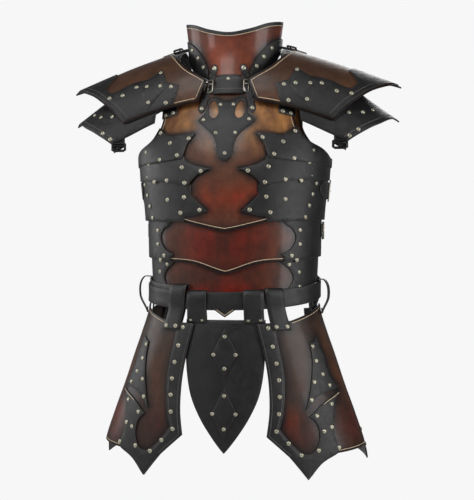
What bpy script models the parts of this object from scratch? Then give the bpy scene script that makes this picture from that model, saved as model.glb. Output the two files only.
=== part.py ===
"""A leather cuirass with a standing collar, shoulder plates, belly lames, a belt and hanging thigh plates.

Each plate is cut flat, as leather is, and then bent onto a form: the torso, the collar, the arch of a
shoulder or the hips. Metres, +Z up, the front faces -Y, and the origin is at the base of the wearer's neck.
"""

import math

import bmesh
import bpy
from mathutils import Vector

# Leather
PLATE = 0.003
OVERLAY = 0.002
STRAP = 0.002
GAP = 0.0004
ON_PLATE = PLATE + GAP
ON_OVERLAY = ON_PLATE + OVERLAY + GAP
FOLD_ANGLE = 35
FLAT_SHARE = 0.78
SIDE_LIMIT = 0.997

# Torso
CHEST_HALF_WIDTH = 0.196
CHEST_DEPTH = 0.138
BACK_SHARE = 0.86
TORSO_LENGTH = 0.45
TORSO_SQUARENESS = 2.3

# Hips and thigh plates
HEM_HALF_WIDTH = 0.270
HEM_DEPTH = 0.155
BELT_DROP = 0.42
SKIRT_LENGTH = 0.35
HIP_SQUARENESS = 2.15

# Belt and the loops that hang from it
BELT_WIDTH = 0.036
BELT_SAG = 0.020
BELT_POINT = 0.014
BELT_POINT_HALF = 0.06
BELT_RISE = 0.010
BELT_START = -1.5
BELT_STEPS = 31
LOOP_WIDTH = 0.047
LOOP_LEAN = 0.16
SIDE_LOOP_WIDTH = 0.026
SIDE_LOOP_BULGE = 0.017

# Collar
COLLAR_HALF_WIDTH = 0.100
COLLAR_DEPTH = 0.078
COLLAR_HEIGHT = 0.155
BAR_WIDTH = 0.048
BAR_SPREAD = 0.0100
BAR_TOP = 0.034
BAR_BOTTOM = -0.006
THROAT_HALF_WIDTH = 0.08
COLLAR_STRAP_WIDTH = 0.014
COLLAR_STRAP_TOP = (0.0290, 0.050)
COLLAR_STRAP_END = (0.052, -0.040)
BUCKLE_PLACE = 0.45
BUCKLE_WIDTH = 0.019
BUCKLE_LENGTH = 0.026
BUCKLE_BAR = 0.0024

# Shoulder plates
SHOULDER_REACH = 0.345
SHOULDER_DEPTH = 0.110
SHOULDER_RISE = 0.0975
SHOULDER_FALL = 0.085
LOWER_DROP = 0.070
DROP_START = 0.34
DROP_POWER = 1.1
ARCH_SKIRT = 0.1
ARCH_FLAT_SHARE = 0.85
SHOULDER_STRAP_IN = 0.103
SHOULDER_STRAP_OUT = 0.135
SHOULDER_STRAP_END = 1.16
STRAP_LEAVES_ARCH = 0.70
STRAP_FLAT = 0.15
ARM_STRAP_PLACE = 0.652
ARM_STRAP_WIDTH = 0.024
ARM_STRAP_ENDS = (0.82, 1.19)

# Torso form: below the origin as a share of TORSO_LENGTH, half width and depth as shares of the chest's
TORSO_ROWS = (
    (-0.09, 0.90, 0.52),
    (0.00, 0.97, 0.63),
    (0.10, 1.00, 0.79),
    (0.27, 1.00, 0.95),
    (0.40, 0.968, 1.00),
    (0.57, 0.930, 0.990),
    (0.67, 0.925, 0.980),
    (0.77, 0.920, 0.965),
    (0.86, 0.910, 0.960),
    (1.00, 0.905, 0.960),
)

# Hip form: below the belt as a share of SKIRT_LENGTH, half width and depth as shares of the hem's
HIP_ROWS = (
    (-0.20, 0.655, 0.848),
    (0.06, 0.660, 0.848),
    (0.20, 0.714, 0.875),
    (0.31, 0.765, 0.890),
    (0.51, 0.853, 0.916),
    (0.66, 0.925, 0.942),
    (0.86, 1.010, 0.968),
    (1.10, 1.060, 1.000),
)

# Collar form: above the origin as a share of COLLAR_HEIGHT, half width and depth as shares of the collar's
COLLAR_ROWS = (
    (-0.20, 0.96, 1.26),
    (0.00, 0.92, 1.20),
    (0.25, 0.90, 1.05),
    (0.60, 0.93, 0.96),
    (1.10, 1.02, 1.00),
)

# Shoulder form: outward as a share of SHOULDER_REACH, ridge and lower edge as shares of the rise and the
# fall, depth as a share of SHOULDER_DEPTH
SHOULDER_ROWS = (
    (0.08, 1.06, -0.22, 1.00),
    (0.17, 1.06, -0.28, 1.00),
    (0.31, 0.99, -0.38, 0.99),
    (0.45, 0.84, -0.53, 0.96),
    (0.62, 0.64, -0.75, 0.91),
    (0.76, 0.45, -0.88, 0.86),
    (1.00, 0.11, -1.06, 0.77),
)

# Flat patterns. Torso patterns: across as a share of the chest's half width, or past 1 in quarter turns
# from the front, and down as a share of TORSO_LENGTH. Only one half is given of a symmetric piece.
BREASTPLATE = (
    (0.00, 0.004), (0.275, 0.004), (0.43, 0.018), (0.68, 0.049), (0.67, 0.104), (0.70, 0.163),
    (0.78, 0.216), (0.94, 0.260), (0.955, 0.283), (0.89, 0.569), (0.42, 0.588), (0.00, 0.631),
)
THROAT_ORNAMENT = (
    (0.000, 0.050), (0.100, 0.041), (0.132, 0.031), (0.175, 0.036), (0.200, 0.060), (0.208, 0.090),
    (0.225, 0.110), (0.291, 0.140), (0.143, 0.201), (0.104, 0.229), (0.087, 0.259), (0.069, 0.302),
    (0.000, 0.324),
)
THROAT_HOLE = (
    (0.132, 0.046), (0.178, 0.058), (0.188, 0.092), (0.160, 0.124), (0.125, 0.131), (0.090, 0.116),
    (0.092, 0.082),
)
FLAP_UPPER = (
    (0.70, 0.163), (0.55, 0.206), (0.46, 0.200), (0.305, 0.198), (0.42, 0.289), (0.44, 0.309),
    (0.71, 0.322), (1.16, 0.329), (1.16, 0.293), (0.99, 0.290), (0.94, 0.260), (0.78, 0.216),
)
FLAP_MIDDLE = (
    (0.43, 0.291), (0.40, 0.319), (0.145, 0.356), (0.37, 0.428), (0.62, 0.404), (1.16, 0.384),
    (1.16, 0.311), (0.71, 0.303),
)
FLAP_LOWER = (
    (0.36, 0.413), (0.34, 0.431), (0.34, 0.469), (0.170, 0.540), (0.41, 0.563), (0.42, 0.587),
    (1.16, 0.568), (1.16, 0.366), (0.62, 0.386),
)
LAME_UPPER = ((0.00, 0.522), (0.88, 0.522), (0.88, 0.745), (0.60, 0.762), (0.33, 0.773), (0.00, 0.819))
LAME_UPPER_SIDE = (
    (0.50, 0.530), (0.60, 0.596), (0.67, 0.618), (0.705, 0.651), (0.67, 0.698), (0.56, 0.731),
    (0.60, 0.762), (0.88, 0.745), (1.24, 0.733), (1.24, 0.522),
)
LAME_LOWER = ((0.00, 0.700), (0.845, 0.700), (0.845, 0.905), (0.00, 0.925))
LAME_LOWER_SIDE = (
    (0.48, 0.705), (0.575, 0.769), (0.655, 0.797), (0.695, 0.836), (0.66, 0.872), (0.60, 0.893),
    (0.61, 0.912), (0.845, 0.905), (1.24, 0.898), (1.24, 0.700),
)
BACKPLATE = (
    (2.00, 0.020), (1.72, 0.005), (1.57, 0.030), (1.55, 0.130), (1.44, 0.210), (1.30, 0.262),
    (1.19, 0.292), (1.19, 0.568), (2.00, 0.600),
)
BACK_LAME_UPPER = ((2.00, 0.522), (1.19, 0.522), (1.19, 0.736), (2.00, 0.780))
BACK_LAME_LOWER = ((2.00, 0.700), (1.19, 0.700), (1.19, 0.900), (2.00, 0.920))
SIDE_STRAP_UPPER = ((0.93, 0.398), (1.36, 0.398), (1.36, 0.474), (0.93, 0.474))
SIDE_STRAP_LOWER = ((1.00, 0.590), (1.36, 0.590), (1.36, 0.650), (1.00, 0.650))

# Hip patterns: across as a share of the hem's half width, where 1 is the side, or past 1 in quarter turns,
# and below the belt as a share of SKIRT_LENGTH
TASSET = (
    (1.000, 0.028), (0.467, 0.117), (0.230, 0.133), (0.282, 0.294), (0.318, 0.450), (0.329, 0.611),
    (0.310, 0.759), (0.476, 0.874), (0.607, 1.000), (0.704, 0.911), (0.810, 0.863), (1.000, 0.847),
)
TASSET_BORDER = (
    (0.467, 0.117), (0.230, 0.133), (0.282, 0.294), (0.318, 0.450), (0.329, 0.611), (0.310, 0.759),
    (0.476, 0.874), (0.607, 1.000), (0.704, 0.911), (0.810, 0.863), (0.816, 0.834), (0.778, 0.749),
    (0.778, 0.630), (0.799, 0.531), (0.610, 0.654), (0.654, 0.689), (0.680, 0.743), (0.671, 0.811),
    (0.632, 0.854), (0.577, 0.857), (0.500, 0.810), (0.402, 0.717), (0.426, 0.635), (0.431, 0.445),
    (0.363, 0.175), (0.467, 0.165),
)
TASSET_DAGGER = (
    (0.639, 0.219), (0.599, 0.249), (0.618, 0.340), (0.614, 0.477), (0.585, 0.616), (0.796, 0.506),
    (0.689, 0.309),
)
REAR_TASSET = (
    (0.970, 0.100), (0.970, 0.800), (1.010, 0.880), (1.060, 0.945), (1.200, 0.920), (1.340, 0.890),
    (1.480, 0.860), (1.500, 0.300), (1.440, 0.070), (1.100, 0.050),
)
APRON = (
    (0.000, 0.109), (0.296, 0.109), (0.287, 0.377), (0.257, 0.529), (0.186, 0.646), (0.0985, 0.759),
    (0.000, 0.857),
)
DIAMOND_HALF_WIDTH = 0.093
DIAMONDS = (("upper", 0.157, 0.300, 0.427), ("lower", 0.489, 0.634, 0.764))

# Collar patterns: across as a share of the collar's half width, or past 1 in quarter turns, and up as a
# share of COLLAR_HEIGHT
GORGET_FRONT = (
    (0.00, 0.790), (0.40, 0.835), (0.75, 0.940), (1.00, 1.000), (1.10, 1.000), (1.10, 0.56),
    (0.96, 0.560), (0.78, 0.330), (0.45, 0.170), (0.24, 0.030), (0.00, 0.020),
)
GORGET_BACK = ((2.00, 0.90), (1.05, 0.98), (1.05, 0.58), (1.30, 0.45), (2.00, 0.30))
GORGET_WING = (
    (0.995, 0.770), (0.745, 0.650), (0.560, 0.490), (0.415, 0.270), (0.430, 0.170), (0.780, 0.330),
    (0.960, 0.560), (1.08, 0.56), (1.08, 0.770),
)

# Shoulder patterns: outward as a share of SHOULDER_REACH, round the arch from 0 at the ridge to 1 at the
# front's lower edge, and below 0 behind the ridge, where the plates are cut shorter
PAULDRON_UPPER = (
    (0.370, 0.00), (0.270, 0.54), (0.118, 0.78), (0.170, 0.995), (0.310, 1.00), (0.450, 1.00),
    (0.617, 1.00), (0.693, 0.82), (0.759, 0.69), (0.820, 0.55), (0.900, 0.36), (1.000, 0.00),
    (0.915, -0.12), (0.870, -0.28), (0.810, -0.42), (0.755, -0.55), (0.700, -0.80), (0.450, -0.82),
    (0.165, -0.82), (0.118, -0.72), (0.270, -0.54),
)
PAULDRON_CAP = (
    (0.690, 0.30), (0.728, 0.42), (0.746, 0.51), (0.710, 0.60), (0.580, 0.583), (0.475, 0.61),
    (0.395, 0.543), (0.357, 0.725), (0.281, 0.793), (0.311, 0.975), (0.450, 0.98), (0.612, 0.98),
    (0.686, 0.81), (0.752, 0.68), (0.812, 0.545), (0.890, 0.36), (0.980, 0.02), (0.905, -0.10),
    (0.800, -0.42), (0.700, -0.44), (0.740, -0.05),
)
PAULDRON_LOWER = (
    (0.410, 0.00), (0.415, 0.80), (0.430, 1.13), (0.630, 1.02), (0.695, 1.00), (0.810, 0.735),
    (0.897, 0.49), (0.990, 0.00), (0.930, -0.12), (0.900, -0.30), (0.840, -0.50), (0.760, -0.70),
    (0.430, -0.74),
)

COLOURS = {
    "brown": (0.085, 0.022, 0.010, 0.38, 0.0),
    "black": (0.012, 0.012, 0.013, 0.50, 0.0),
    "steel": (0.42, 0.40, 0.34, 0.32, 1.0),
}


def between(rows, at):
    """The row of a table at this value of its first column, straight between the rows given."""
    at = min(max(at, rows[0][0]), rows[-1][0])
    for low, high in zip(rows, rows[1:]):
        if at <= high[0]:
            part = (at - low[0]) / (high[0] - low[0])
            return [a + (b - a) * part for a, b in zip(low[1:], high[1:])]
    return list(rows[-1][1:])


class Form:
    """A surface that leather is bent onto, as a grid of points and outward directions, straight between them.

    u and v are its own two directions. A form that is symmetric is given from u = 0, its middle, and one
    that goes right round ends at u = 2, the middle of the back.
    """

    def __init__(self, point, u_range, v_range, cells, flat_size, outward=1.0, symmetric=True):
        self.start = (u_range[0], v_range[0])
        self.cells = cells
        self.step = ((u_range[1] - u_range[0]) / cells[0], (v_range[1] - v_range[0]) / cells[1])
        self.flat = flat_size
        self.symmetric = symmetric
        self.nodes = {}
        nudge = 0.001
        for i in range(cells[0] + 1):
            for j in range(cells[1] + 1):
                u = self.start[0] + i * self.step[0]
                v = self.start[1] + j * self.step[1]
                along_u = point(u + nudge, v) - point(u - nudge, v)
                along_v = point(u, v + nudge) - point(u, v - nudge)
                out = along_u.cross(along_v).normalized() * outward
                self.nodes[i, j] = (point(u, v), out)

    def folded(self, u):
        """u brought to the half that is given, and -1 where it was on the other half."""
        if not self.symmetric:
            return u, 1.0
        u = (u + 2) % 4 - 2
        return abs(u), (1.0 if u >= 0 else -1.0)

    def place(self, u, v, out):
        """The point at u and v, this far out from the form."""
        u, side = self.folded(u)
        x = min(max((u - self.start[0]) / self.step[0], 0), self.cells[0])
        y = min(max((v - self.start[1]) / self.step[1], 0), self.cells[1])
        i = min(int(x), self.cells[0] - 1)
        j = min(int(y), self.cells[1] - 1)
        x -= i
        y -= j
        turn = (i + 1, j) if x > y else (i, j + 1)
        shares = (1 - max(x, y), abs(x - y), min(x, y))
        found = Vector()
        for corner, share in zip(((i, j), turn, (i + 1, j + 1)), shares):
            at, outward = self.nodes[corner]
            found += (at + outward * out) * share
        found.x *= side
        return found

    def cut(self, bm):
        """Cuts a flat piece along the form's grid and its diagonals, so that it can fold there."""
        for axis in (0, 1):
            size = self.step[axis] * self.flat[axis]
            low = min(v.co[axis] for v in bm.verts)
            high = max(v.co[axis] for v in bm.verts)
            origin = self.start[axis] * self.flat[axis]
            normal = Vector((1, 0, 0)) if axis == 0 else Vector((0, 1, 0))
            for k in range(math.ceil((low - origin) / size), math.floor((high - origin) / size) + 1):
                bisect(bm, bm.faces, normal * (origin + k * size), normal)
        cells = {}
        for face in bm.faces:
            middle = face.calc_center_median()
            i = math.floor((middle.x / self.flat[0] - self.start[0]) / self.step[0])
            j = math.floor((middle.y / self.flat[1] - self.start[1]) / self.step[1])
            cells.setdefault((i, j), []).append(face)
        for (i, j), faces in sorted(cells.items()):
            u = self.start[0] + i * self.step[0]
            v = self.start[1] + j * self.step[1]
            _, side = self.folded(u + self.step[0] / 2)
            corner = Vector((u * self.flat[0], v * self.flat[1], 0))
            if side < 0:
                corner.x += self.step[0] * self.flat[0]
            along = Vector((side * self.step[0] * self.flat[0], self.step[1] * self.flat[1], 0))
            bisect(bm, faces, corner, Vector((along.y, -along.x, 0)).normalized())


def bisect(bm, faces, at, normal):
    """Cuts the faces along one plane."""
    faces = [f for f in faces if f.is_valid]
    edges = {e for f in faces for e in f.edges}
    verts = {v for f in faces for v in f.verts}
    bmesh.ops.bisect_plane(
        bm, geom=[*verts, *edges, *faces], dist=1e-6, plane_co=at, plane_no=normal
    )


def superellipse(share, half_width, depth, squareness):
    """The point a share of a quarter turn round, from the front at 0 to the side at 1 and the back at 2."""
    angle = share * math.pi / 2
    power = 2 / squareness
    side = math.sin(angle)
    front = math.cos(angle)
    x = half_width * math.copysign(abs(side) ** power, side)
    y = -depth * math.copysign(abs(front) ** power, front)
    return x, (y if y < 0 else y * BACK_SHARE)


def round_form(rows, half_width, depth, top, length, squareness, cells):
    """The form of a body section table: its rows go down from top, or up where length is negative."""

    def point(u, v):
        wide, deep = between(rows, (top - v) / length)
        x, y = superellipse(u, wide * half_width, deep * depth, squareness)
        return Vector((x, y, v))

    ends = sorted((top - rows[0][0] * length, top - rows[-1][0] * length))
    return Form(point, (0, 2), ends, cells, ((half_width + depth) * FLAT_SHARE, 1.0))


def pattern(rows, table, half_width, top, length, squareness, mirrored=False):
    """A table of across and down shares as the form's own u and v. mirrored adds the other half."""
    found = []
    for across, down in table:
        if across <= 1:
            wide = between(rows, down)[0]
            share = min(across / wide, SIDE_LIMIT)
            across = math.asin(share ** (squareness / 2)) / (math.pi / 2)
        found.append((across, top - down * length))
    if mirrored:
        middle = 2 if found[0][0] > 1 else 0
        found += [(2 * middle - u, v) for u, v in reversed(found) if abs(u - middle) > 1e-6]
    return found


def torso_pattern(table, mirrored=False):
    return pattern(TORSO_ROWS, table, CHEST_HALF_WIDTH, 0.0, TORSO_LENGTH, TORSO_SQUARENESS, mirrored)


def hip_pattern(table, mirrored=False):
    return pattern(HIP_ROWS, table, HEM_HALF_WIDTH, -BELT_DROP, SKIRT_LENGTH, HIP_SQUARENESS, mirrored)


def collar_pattern(table, mirrored=False):
    return pattern(COLLAR_ROWS, table, COLLAR_HALF_WIDTH, 0.0, -COLLAR_HEIGHT, 2.0, mirrored)


def outline_mesh(loops, thickness):
    """A flat slab with this outline, and holes for the loops after the first, from 0 to thickness in Z."""
    curve = bpy.data.curves.new("pattern", "CURVE")
    curve.dimensions = "2D"
    curve.fill_mode = "BOTH"
    curve.extrude = thickness / 2
    for loop in loops:
        spline = curve.splines.new("POLY")
        spline.points.add(len(loop) - 1)
        for point, (x, y) in zip(spline.points, loop):
            point.co = (x, y, 0, 1)
        spline.use_cyclic_u = True
    guide = bpy.data.objects.new("pattern", curve)
    bpy.context.scene.collection.objects.link(guide)
    bpy.context.view_layer.update()
    mesh = bpy.data.meshes.new_from_object(guide.evaluated_get(bpy.context.evaluated_depsgraph_get()))
    bpy.data.objects.remove(guide)
    bpy.data.curves.remove(curve)
    bm = bmesh.new()
    bm.from_mesh(mesh)
    bpy.data.meshes.remove(mesh)
    bmesh.ops.remove_doubles(bm, verts=bm.verts, dist=1e-6)
    bmesh.ops.dissolve_limit(bm, angle_limit=0.001, verts=bm.verts, edges=bm.edges)
    bmesh.ops.translate(bm, verts=bm.verts, vec=(0, 0, thickness / 2))
    return bm


class Workshop:
    """Holds the collection and the materials, and turns flat pieces into named objects."""

    def __init__(self):
        for obj in list(bpy.data.objects):
            bpy.data.objects.remove(obj)
        self.collection = bpy.data.collections.new("leather_cuirass")
        bpy.context.scene.collection.children.link(self.collection)

    def material(self, name, colour):
        material = bpy.data.materials.new(name)
        material.use_nodes = True
        shader = material.node_tree.nodes["Principled BSDF"]
        *rgb, roughness, metallic = COLOURS[colour]
        shader.inputs["Base Color"].default_value = (*rgb, 1)
        shader.inputs["Roughness"].default_value = roughness
        shader.inputs["Metallic"].default_value = metallic
        return material

    def add(self, name, bm, colour):
        """Makes the object from a bent piece."""
        if bm.calc_volume(signed=True) < 0:
            bmesh.ops.reverse_faces(bm, faces=bm.faces)
        mesh = bpy.data.meshes.new(name)
        bm.to_mesh(mesh)
        bm.free()
        mesh.shade_smooth()
        mesh.set_sharp_from_angle(angle=math.radians(FOLD_ANGLE))
        mesh.materials.append(self.material(name, colour))
        obj = bpy.data.objects.new(name, mesh)
        self.collection.objects.link(obj)
        return obj

    def add_pair(self, name, bm, colour):
        """Makes the piece at +X and its mirror image at -X."""
        other = bm.copy()
        self.add(name + "_R", bm, colour)
        for vert in other.verts:
            vert.co.x = -vert.co.x
        self.add(name + "_L", other, colour)


def bent(form, loops, thickness, lift):
    """A flat piece with these loops in u and v, cut and bent onto the form. lift(u, v) is its inner side."""
    flat = [[(u * form.flat[0], v * form.flat[1]) for u, v in loop] for loop in loops]
    bm = outline_mesh(flat, thickness)
    form.cut(bm)
    wrap(form, bm, lift)
    return bm


def wrap(form, bm, lift=lambda u, v: 0.0):
    """Splits a flat piece into triangles and moves each point onto the form."""
    bmesh.ops.triangulate(bm, faces=bm.faces)
    for vert in bm.verts:
        u = vert.co.x / form.flat[0]
        v = vert.co.y / form.flat[1]
        vert.co = form.place(u, v, vert.co.z + lift(u, v))


def level(height):
    """The same lift everywhere."""
    return lambda u, v: height


def rectangle(left, right, low, high):
    """The four corners of a band, in u and v."""
    return [(left, low), (right, low), (right, high), (left, high)]


def sloped(top, at_top, bottom, at_bottom):
    """A lift that changes evenly with height between two levels."""
    return lambda u, v: at_top + (at_bottom - at_top) * (top - v) / (top - bottom)


def make_torso(shop, torso):
    """Breastplate, backplate and the black chest flaps, each lapping over the next one down."""
    down = -TORSO_LENGTH
    shop.add("breastplate", bent(torso, [torso_pattern(BREASTPLATE, True)], PLATE, level(0)), "brown")
    back = torso_pattern(BACKPLATE, True)
    shop.add("backplate", bent(torso, [back], PLATE, level(OVERLAY + GAP)), "brown")
    lapped = ON_OVERLAY + GAP
    flaps = (
        ("upper", FLAP_UPPER, sloped(down * 0.15, ON_PLATE, down * 0.30, lapped)),
        ("middle", FLAP_MIDDLE, sloped(down * 0.30, ON_PLATE, down * 0.385, lapped)),
        ("lower", FLAP_LOWER, level(ON_PLATE)),
    )
    for name, table, lift in flaps:
        shop.add_pair("chest_flap_" + name, bent(torso, [torso_pattern(table)], OVERLAY, lift), "black")
    holes = [torso_pattern(THROAT_HOLE)]
    holes.append([(-u, v) for u, v in holes[0]])
    loops = [torso_pattern(THROAT_ORNAMENT, True), *holes]
    shop.add("throat_ornament", bent(torso, loops, OVERLAY, level(ON_PLATE)), "black")
    side = bent(torso, [torso_pattern(SIDE_STRAP_UPPER)], STRAP, level(ON_OVERLAY))
    shop.add_pair("side_strap_upper", side, "black")


def make_lames(shop, torso):
    """The two belly plates with their black sides, and the plain plates behind."""
    tucked = -(PLATE + OVERLAY + 2 * GAP)
    lifts = {"upper": tucked, "lower": 2 * tucked}
    tables = (
        ("upper", LAME_UPPER, LAME_UPPER_SIDE, BACK_LAME_UPPER),
        ("lower", LAME_LOWER, LAME_LOWER_SIDE, BACK_LAME_LOWER),
    )
    for name, front, side, back in tables:
        lift = lifts[name]
        shop.add("lame_" + name, bent(torso, [torso_pattern(front, True)], PLATE, level(lift)), "brown")
        black = bent(torso, [torso_pattern(side)], OVERLAY, level(lift + ON_PLATE))
        shop.add_pair("lame_side_" + name, black, "black")
        behind = bent(torso, [torso_pattern(back, True)], PLATE, level(lift))
        shop.add("back_lame_" + name, behind, "brown")
    over = level(lifts["upper"] + ON_OVERLAY)
    shop.add_pair("side_strap_lower", bent(torso, [torso_pattern(SIDE_STRAP_LOWER)], STRAP, over), "black")


def belt_middle(u):
    """The height of the belt's middle line, which hangs lower at the front than at the back."""
    rise = BELT_RISE * (u - BELT_START) / 4
    return -BELT_DROP - BELT_SAG * (0.25 - 1 + math.cos(u * math.pi / 2)) + rise


def belt_turns(hips):
    """The places along the belt, one at each of the form's grid lines: one turn and a lap."""
    return [BELT_START + k * hips.step[0] for k in range(BELT_STEPS + 1)]


def belt_outline(hips):
    """The belt's flat outline, pointed at the front and rising a little as it goes round."""
    turns = belt_turns(hips)
    half = BELT_WIDTH / 2
    top = [(u, belt_middle(u) + half) for u in turns]
    bottom = [(u, belt_middle(u) - half) for u in turns if abs(u) > BELT_POINT_HALF]
    point = [(u, belt_middle(u) - half) for u in (-BELT_POINT_HALF, BELT_POINT_HALF)]
    point.append((0.0, belt_middle(0) - half - BELT_POINT))
    return top + sorted(bottom + point, reverse=True)


def belt_lift(u):
    """How far out the belt's inner side lies: it winds inward, so that its end is tucked under."""
    return (PLATE + GAP) * (1 - (u - BELT_START) / 4)


def belt_at(u, end):
    """The belt's top edge, lower edge, inner side and outer side at this place. end is its lapped end."""
    turns = [u + 4 * k for k in (0, 1) if u + 4 * k <= end]
    half = BELT_WIDTH / 2
    return belt_middle(turns[-1]) + half, belt_middle(u) - half, belt_lift(turns[-1]), belt_lift(u) + PLATE


def make_belt(shop, hips):
    """The waist belt, wound once round and lapped under itself."""
    belt = bent(hips, [belt_outline(hips)], PLATE, lambda u, v: belt_lift(u))
    shop.add("belt", belt, "black")


def hairpin(belt, plate_top, foot, front, rear, bulge=0.0):
    """The side view of a loop round the belt, as height and distance out.

    belt is the belt's top, lower edge, inner and outer side. The two legs run down to foot, with a plate
    between them from plate_top down, whose outer and inner sides are front and rear.
    """
    top, under, inner, outer = belt
    top += 2 * GAP
    under -= 2 * GAP
    inner -= GAP
    outer += GAP
    middle = (top + foot) / 2 if bulge else under
    knee = plate_top + 3 * GAP
    return [
        (foot, rear - STRAP),
        (knee, rear - STRAP),
        (under, inner - STRAP),
        (top, inner - STRAP),
        (top + STRAP, inner),
        (top + STRAP, outer),
        (top, outer + STRAP + bulge / 2),
        (middle, outer + STRAP + bulge),
        (foot, front + STRAP),
        (foot, front),
        (middle, outer + bulge),
        (top, outer + bulge / 2),
        (top, inner),
        (under, inner),
        (knee, rear),
        (foot, rear),
    ]


def belt_loop(hips, middle, width, profile, slant=0.0):
    """A strap round the belt, made from its side view. slant leans its legs away from the front."""
    bm = outline_mesh([profile], width)
    bmesh.ops.triangulate(bm, faces=bm.faces)
    for vert in bm.verts:
        v, out, along = vert.co
        lean = math.copysign(slant, middle) * (-BELT_DROP - v)
        vert.co = (middle * hips.flat[0] + along - width / 2 + lean, v * hips.flat[1], out)
    hips.cut(bm)
    wrap(hips, bm)
    return bm


def hip_place(across, below):
    """The hip form's u for a pattern place."""
    return hip_pattern(((across, below),))[0][0]


def make_skirt(shop, hips):
    """The thigh plates, the apron, their overlays and the loops that carry them."""
    behind = level(-PLATE - GAP)
    over = level(ON_PLATE)
    shop.add_pair("tasset", bent(hips, [hip_pattern(TASSET)], PLATE, level(0)), "brown")
    shop.add_pair("tasset_border", bent(hips, [hip_pattern(TASSET_BORDER)], OVERLAY, over), "black")
    shop.add_pair("tasset_dagger", bent(hips, [hip_pattern(TASSET_DAGGER)], OVERLAY, over), "black")
    shop.add_pair("rear_tasset", bent(hips, [hip_pattern(REAR_TASSET)], PLATE, behind), "brown")
    shop.add("apron", bent(hips, [hip_pattern(APRON, True)], PLATE, behind), "black")
    for name, top, middle, bottom in DIAMONDS:
        table = ((0.0, top), (DIAMOND_HALF_WIDTH, middle), (0.0, bottom))
        outline = hip_pattern(table, True)
        shop.add("apron_diamond_" + name, bent(hips, [outline], OVERLAY, level(0)), "black")

    in_between = -PLATE - 2 * GAP
    apron_place = hip_place(0.207, 0)
    front_place = hip_place(0.357, 0)
    side_width = SIDE_LOOP_WIDTH
    # Name, place round the hips, width, shares down to the plate's top and the legs' feet, outer and inner
    # side of the plate between the legs, bulge and lean
    loops = (
        ("apron_strap", apron_place, LOOP_WIDTH, 0.109, 0.128, 0.0, in_between, 0.0, 0.0),
        ("tasset_front_strap", front_place, LOOP_WIDTH, 0.117, 0.17, ON_OVERLAY, -GAP, 0.0, LOOP_LEAN),
        ("tasset_side_strap", 0.93, side_width, 0.040, 0.09, ON_PLATE, in_between, SIDE_LOOP_BULGE, 0.0),
        ("rear_strap", 1.30, side_width, 0.050, 0.150, 0.0, in_between, 0.0, 0.0),
    )
    belt_end = belt_turns(hips)[-1]
    for name, middle, width, plate_top, foot, front, rear, bulge, lean in loops:
        half = width / 2 / hips.flat[0]
        plate_top = -BELT_DROP - plate_top * SKIRT_LENGTH
        foot = -BELT_DROP - foot * SKIRT_LENGTH
        for side, end in ((1, "_R"), (-1, "_L")):
            belts = [belt_at(side * (middle + k * half), belt_end) for k in (-1, 0, 1)]
            top, under, inner, outer = zip(*belts)
            belt = (max(top), min(under), min(inner), max(outer))
            profile = hairpin(belt, plate_top, foot, front, rear, bulge)
            shop.add(name + end, belt_loop(hips, side * middle, width, profile, lean), "black")


def make_collar(shop, collar):
    """The standing collar in two halves, and its black side overlays."""
    front = collar_pattern(GORGET_FRONT, True)
    shop.add("gorget_front", bent(collar, [front], PLATE, level(0)), "brown")
    back = collar_pattern(GORGET_BACK, True)
    shop.add("gorget_back", bent(collar, [back], PLATE, level(-PLATE - GAP)), "brown")
    wing = bent(collar, [collar_pattern(GORGET_WING)], OVERLAY, level(ON_PLATE))
    shop.add_pair("gorget_wing", wing, "black")


def throat_form(torso, collar):
    """The outer face of the collar's foot and the breastplate's top, whichever stands further forward."""

    def point(u, v):
        x = min(max(u, 0.0), THROAT_HALF_WIDTH)
        wide = between(TORSO_ROWS, -v / TORSO_LENGTH)[0] * CHEST_HALF_WIDTH
        turn = math.asin((x / wide) ** (TORSO_SQUARENESS / 2)) / (math.pi / 2)
        chest = torso.place(turn, v, ON_PLATE)
        wide = between(COLLAR_ROWS, v / COLLAR_HEIGHT)[0] * COLLAR_HALF_WIDTH
        neck = collar.place(math.asin(x / wide) / (math.pi / 2), v, ON_PLATE + GAP)
        return Vector((u, min(chest.y, neck.y) if v < BAR_TOP else neck.y, v))

    reach = THROAT_HALF_WIDTH
    return Form(point, (0, reach), (-0.75 * reach, reach), (6, 10), (1.0, 1.0))


def make_throat(shop, throat):
    """The bar at the collar's foot, and the two buckled straps over it."""
    high = BAR_WIDTH / 2
    low = high + BAR_SPREAD
    bar = [(-low, BAR_BOTTOM), (low, BAR_BOTTOM), (high, BAR_TOP), (-high, BAR_TOP)]
    shop.add("gorget_bar", bent(throat, [bar], OVERLAY, level(GAP)), "black")
    top = Vector(COLLAR_STRAP_TOP)
    end = Vector(COLLAR_STRAP_END)
    along = (end - top).normalized()
    across = Vector((-along.y, along.x))
    side = across * COLLAR_STRAP_WIDTH / 2
    tip = along * COLLAR_STRAP_WIDTH / 2
    strap = [top - side, top + side, end + side, end + tip, end - side]
    shop.add_pair("gorget_strap", bent(throat, [[tuple(p) for p in strap]], STRAP, level(GAP)), "black")
    middle = top.lerp(end, BUCKLE_PLACE)
    frames = []
    for inset in (0.0, BUCKLE_BAR):
        wide = across * (BUCKLE_WIDTH / 2 - inset)
        long = along * (BUCKLE_LENGTH / 2 - inset)
        corners = (middle - wide - long, middle + wide - long, middle + wide + long, middle - wide + long)
        frames.append([tuple(p) for p in corners])
    shop.add_pair("gorget_buckle", bent(throat, frames, BUCKLE_BAR, level(STRAP + 2 * GAP)), "steel")


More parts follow.
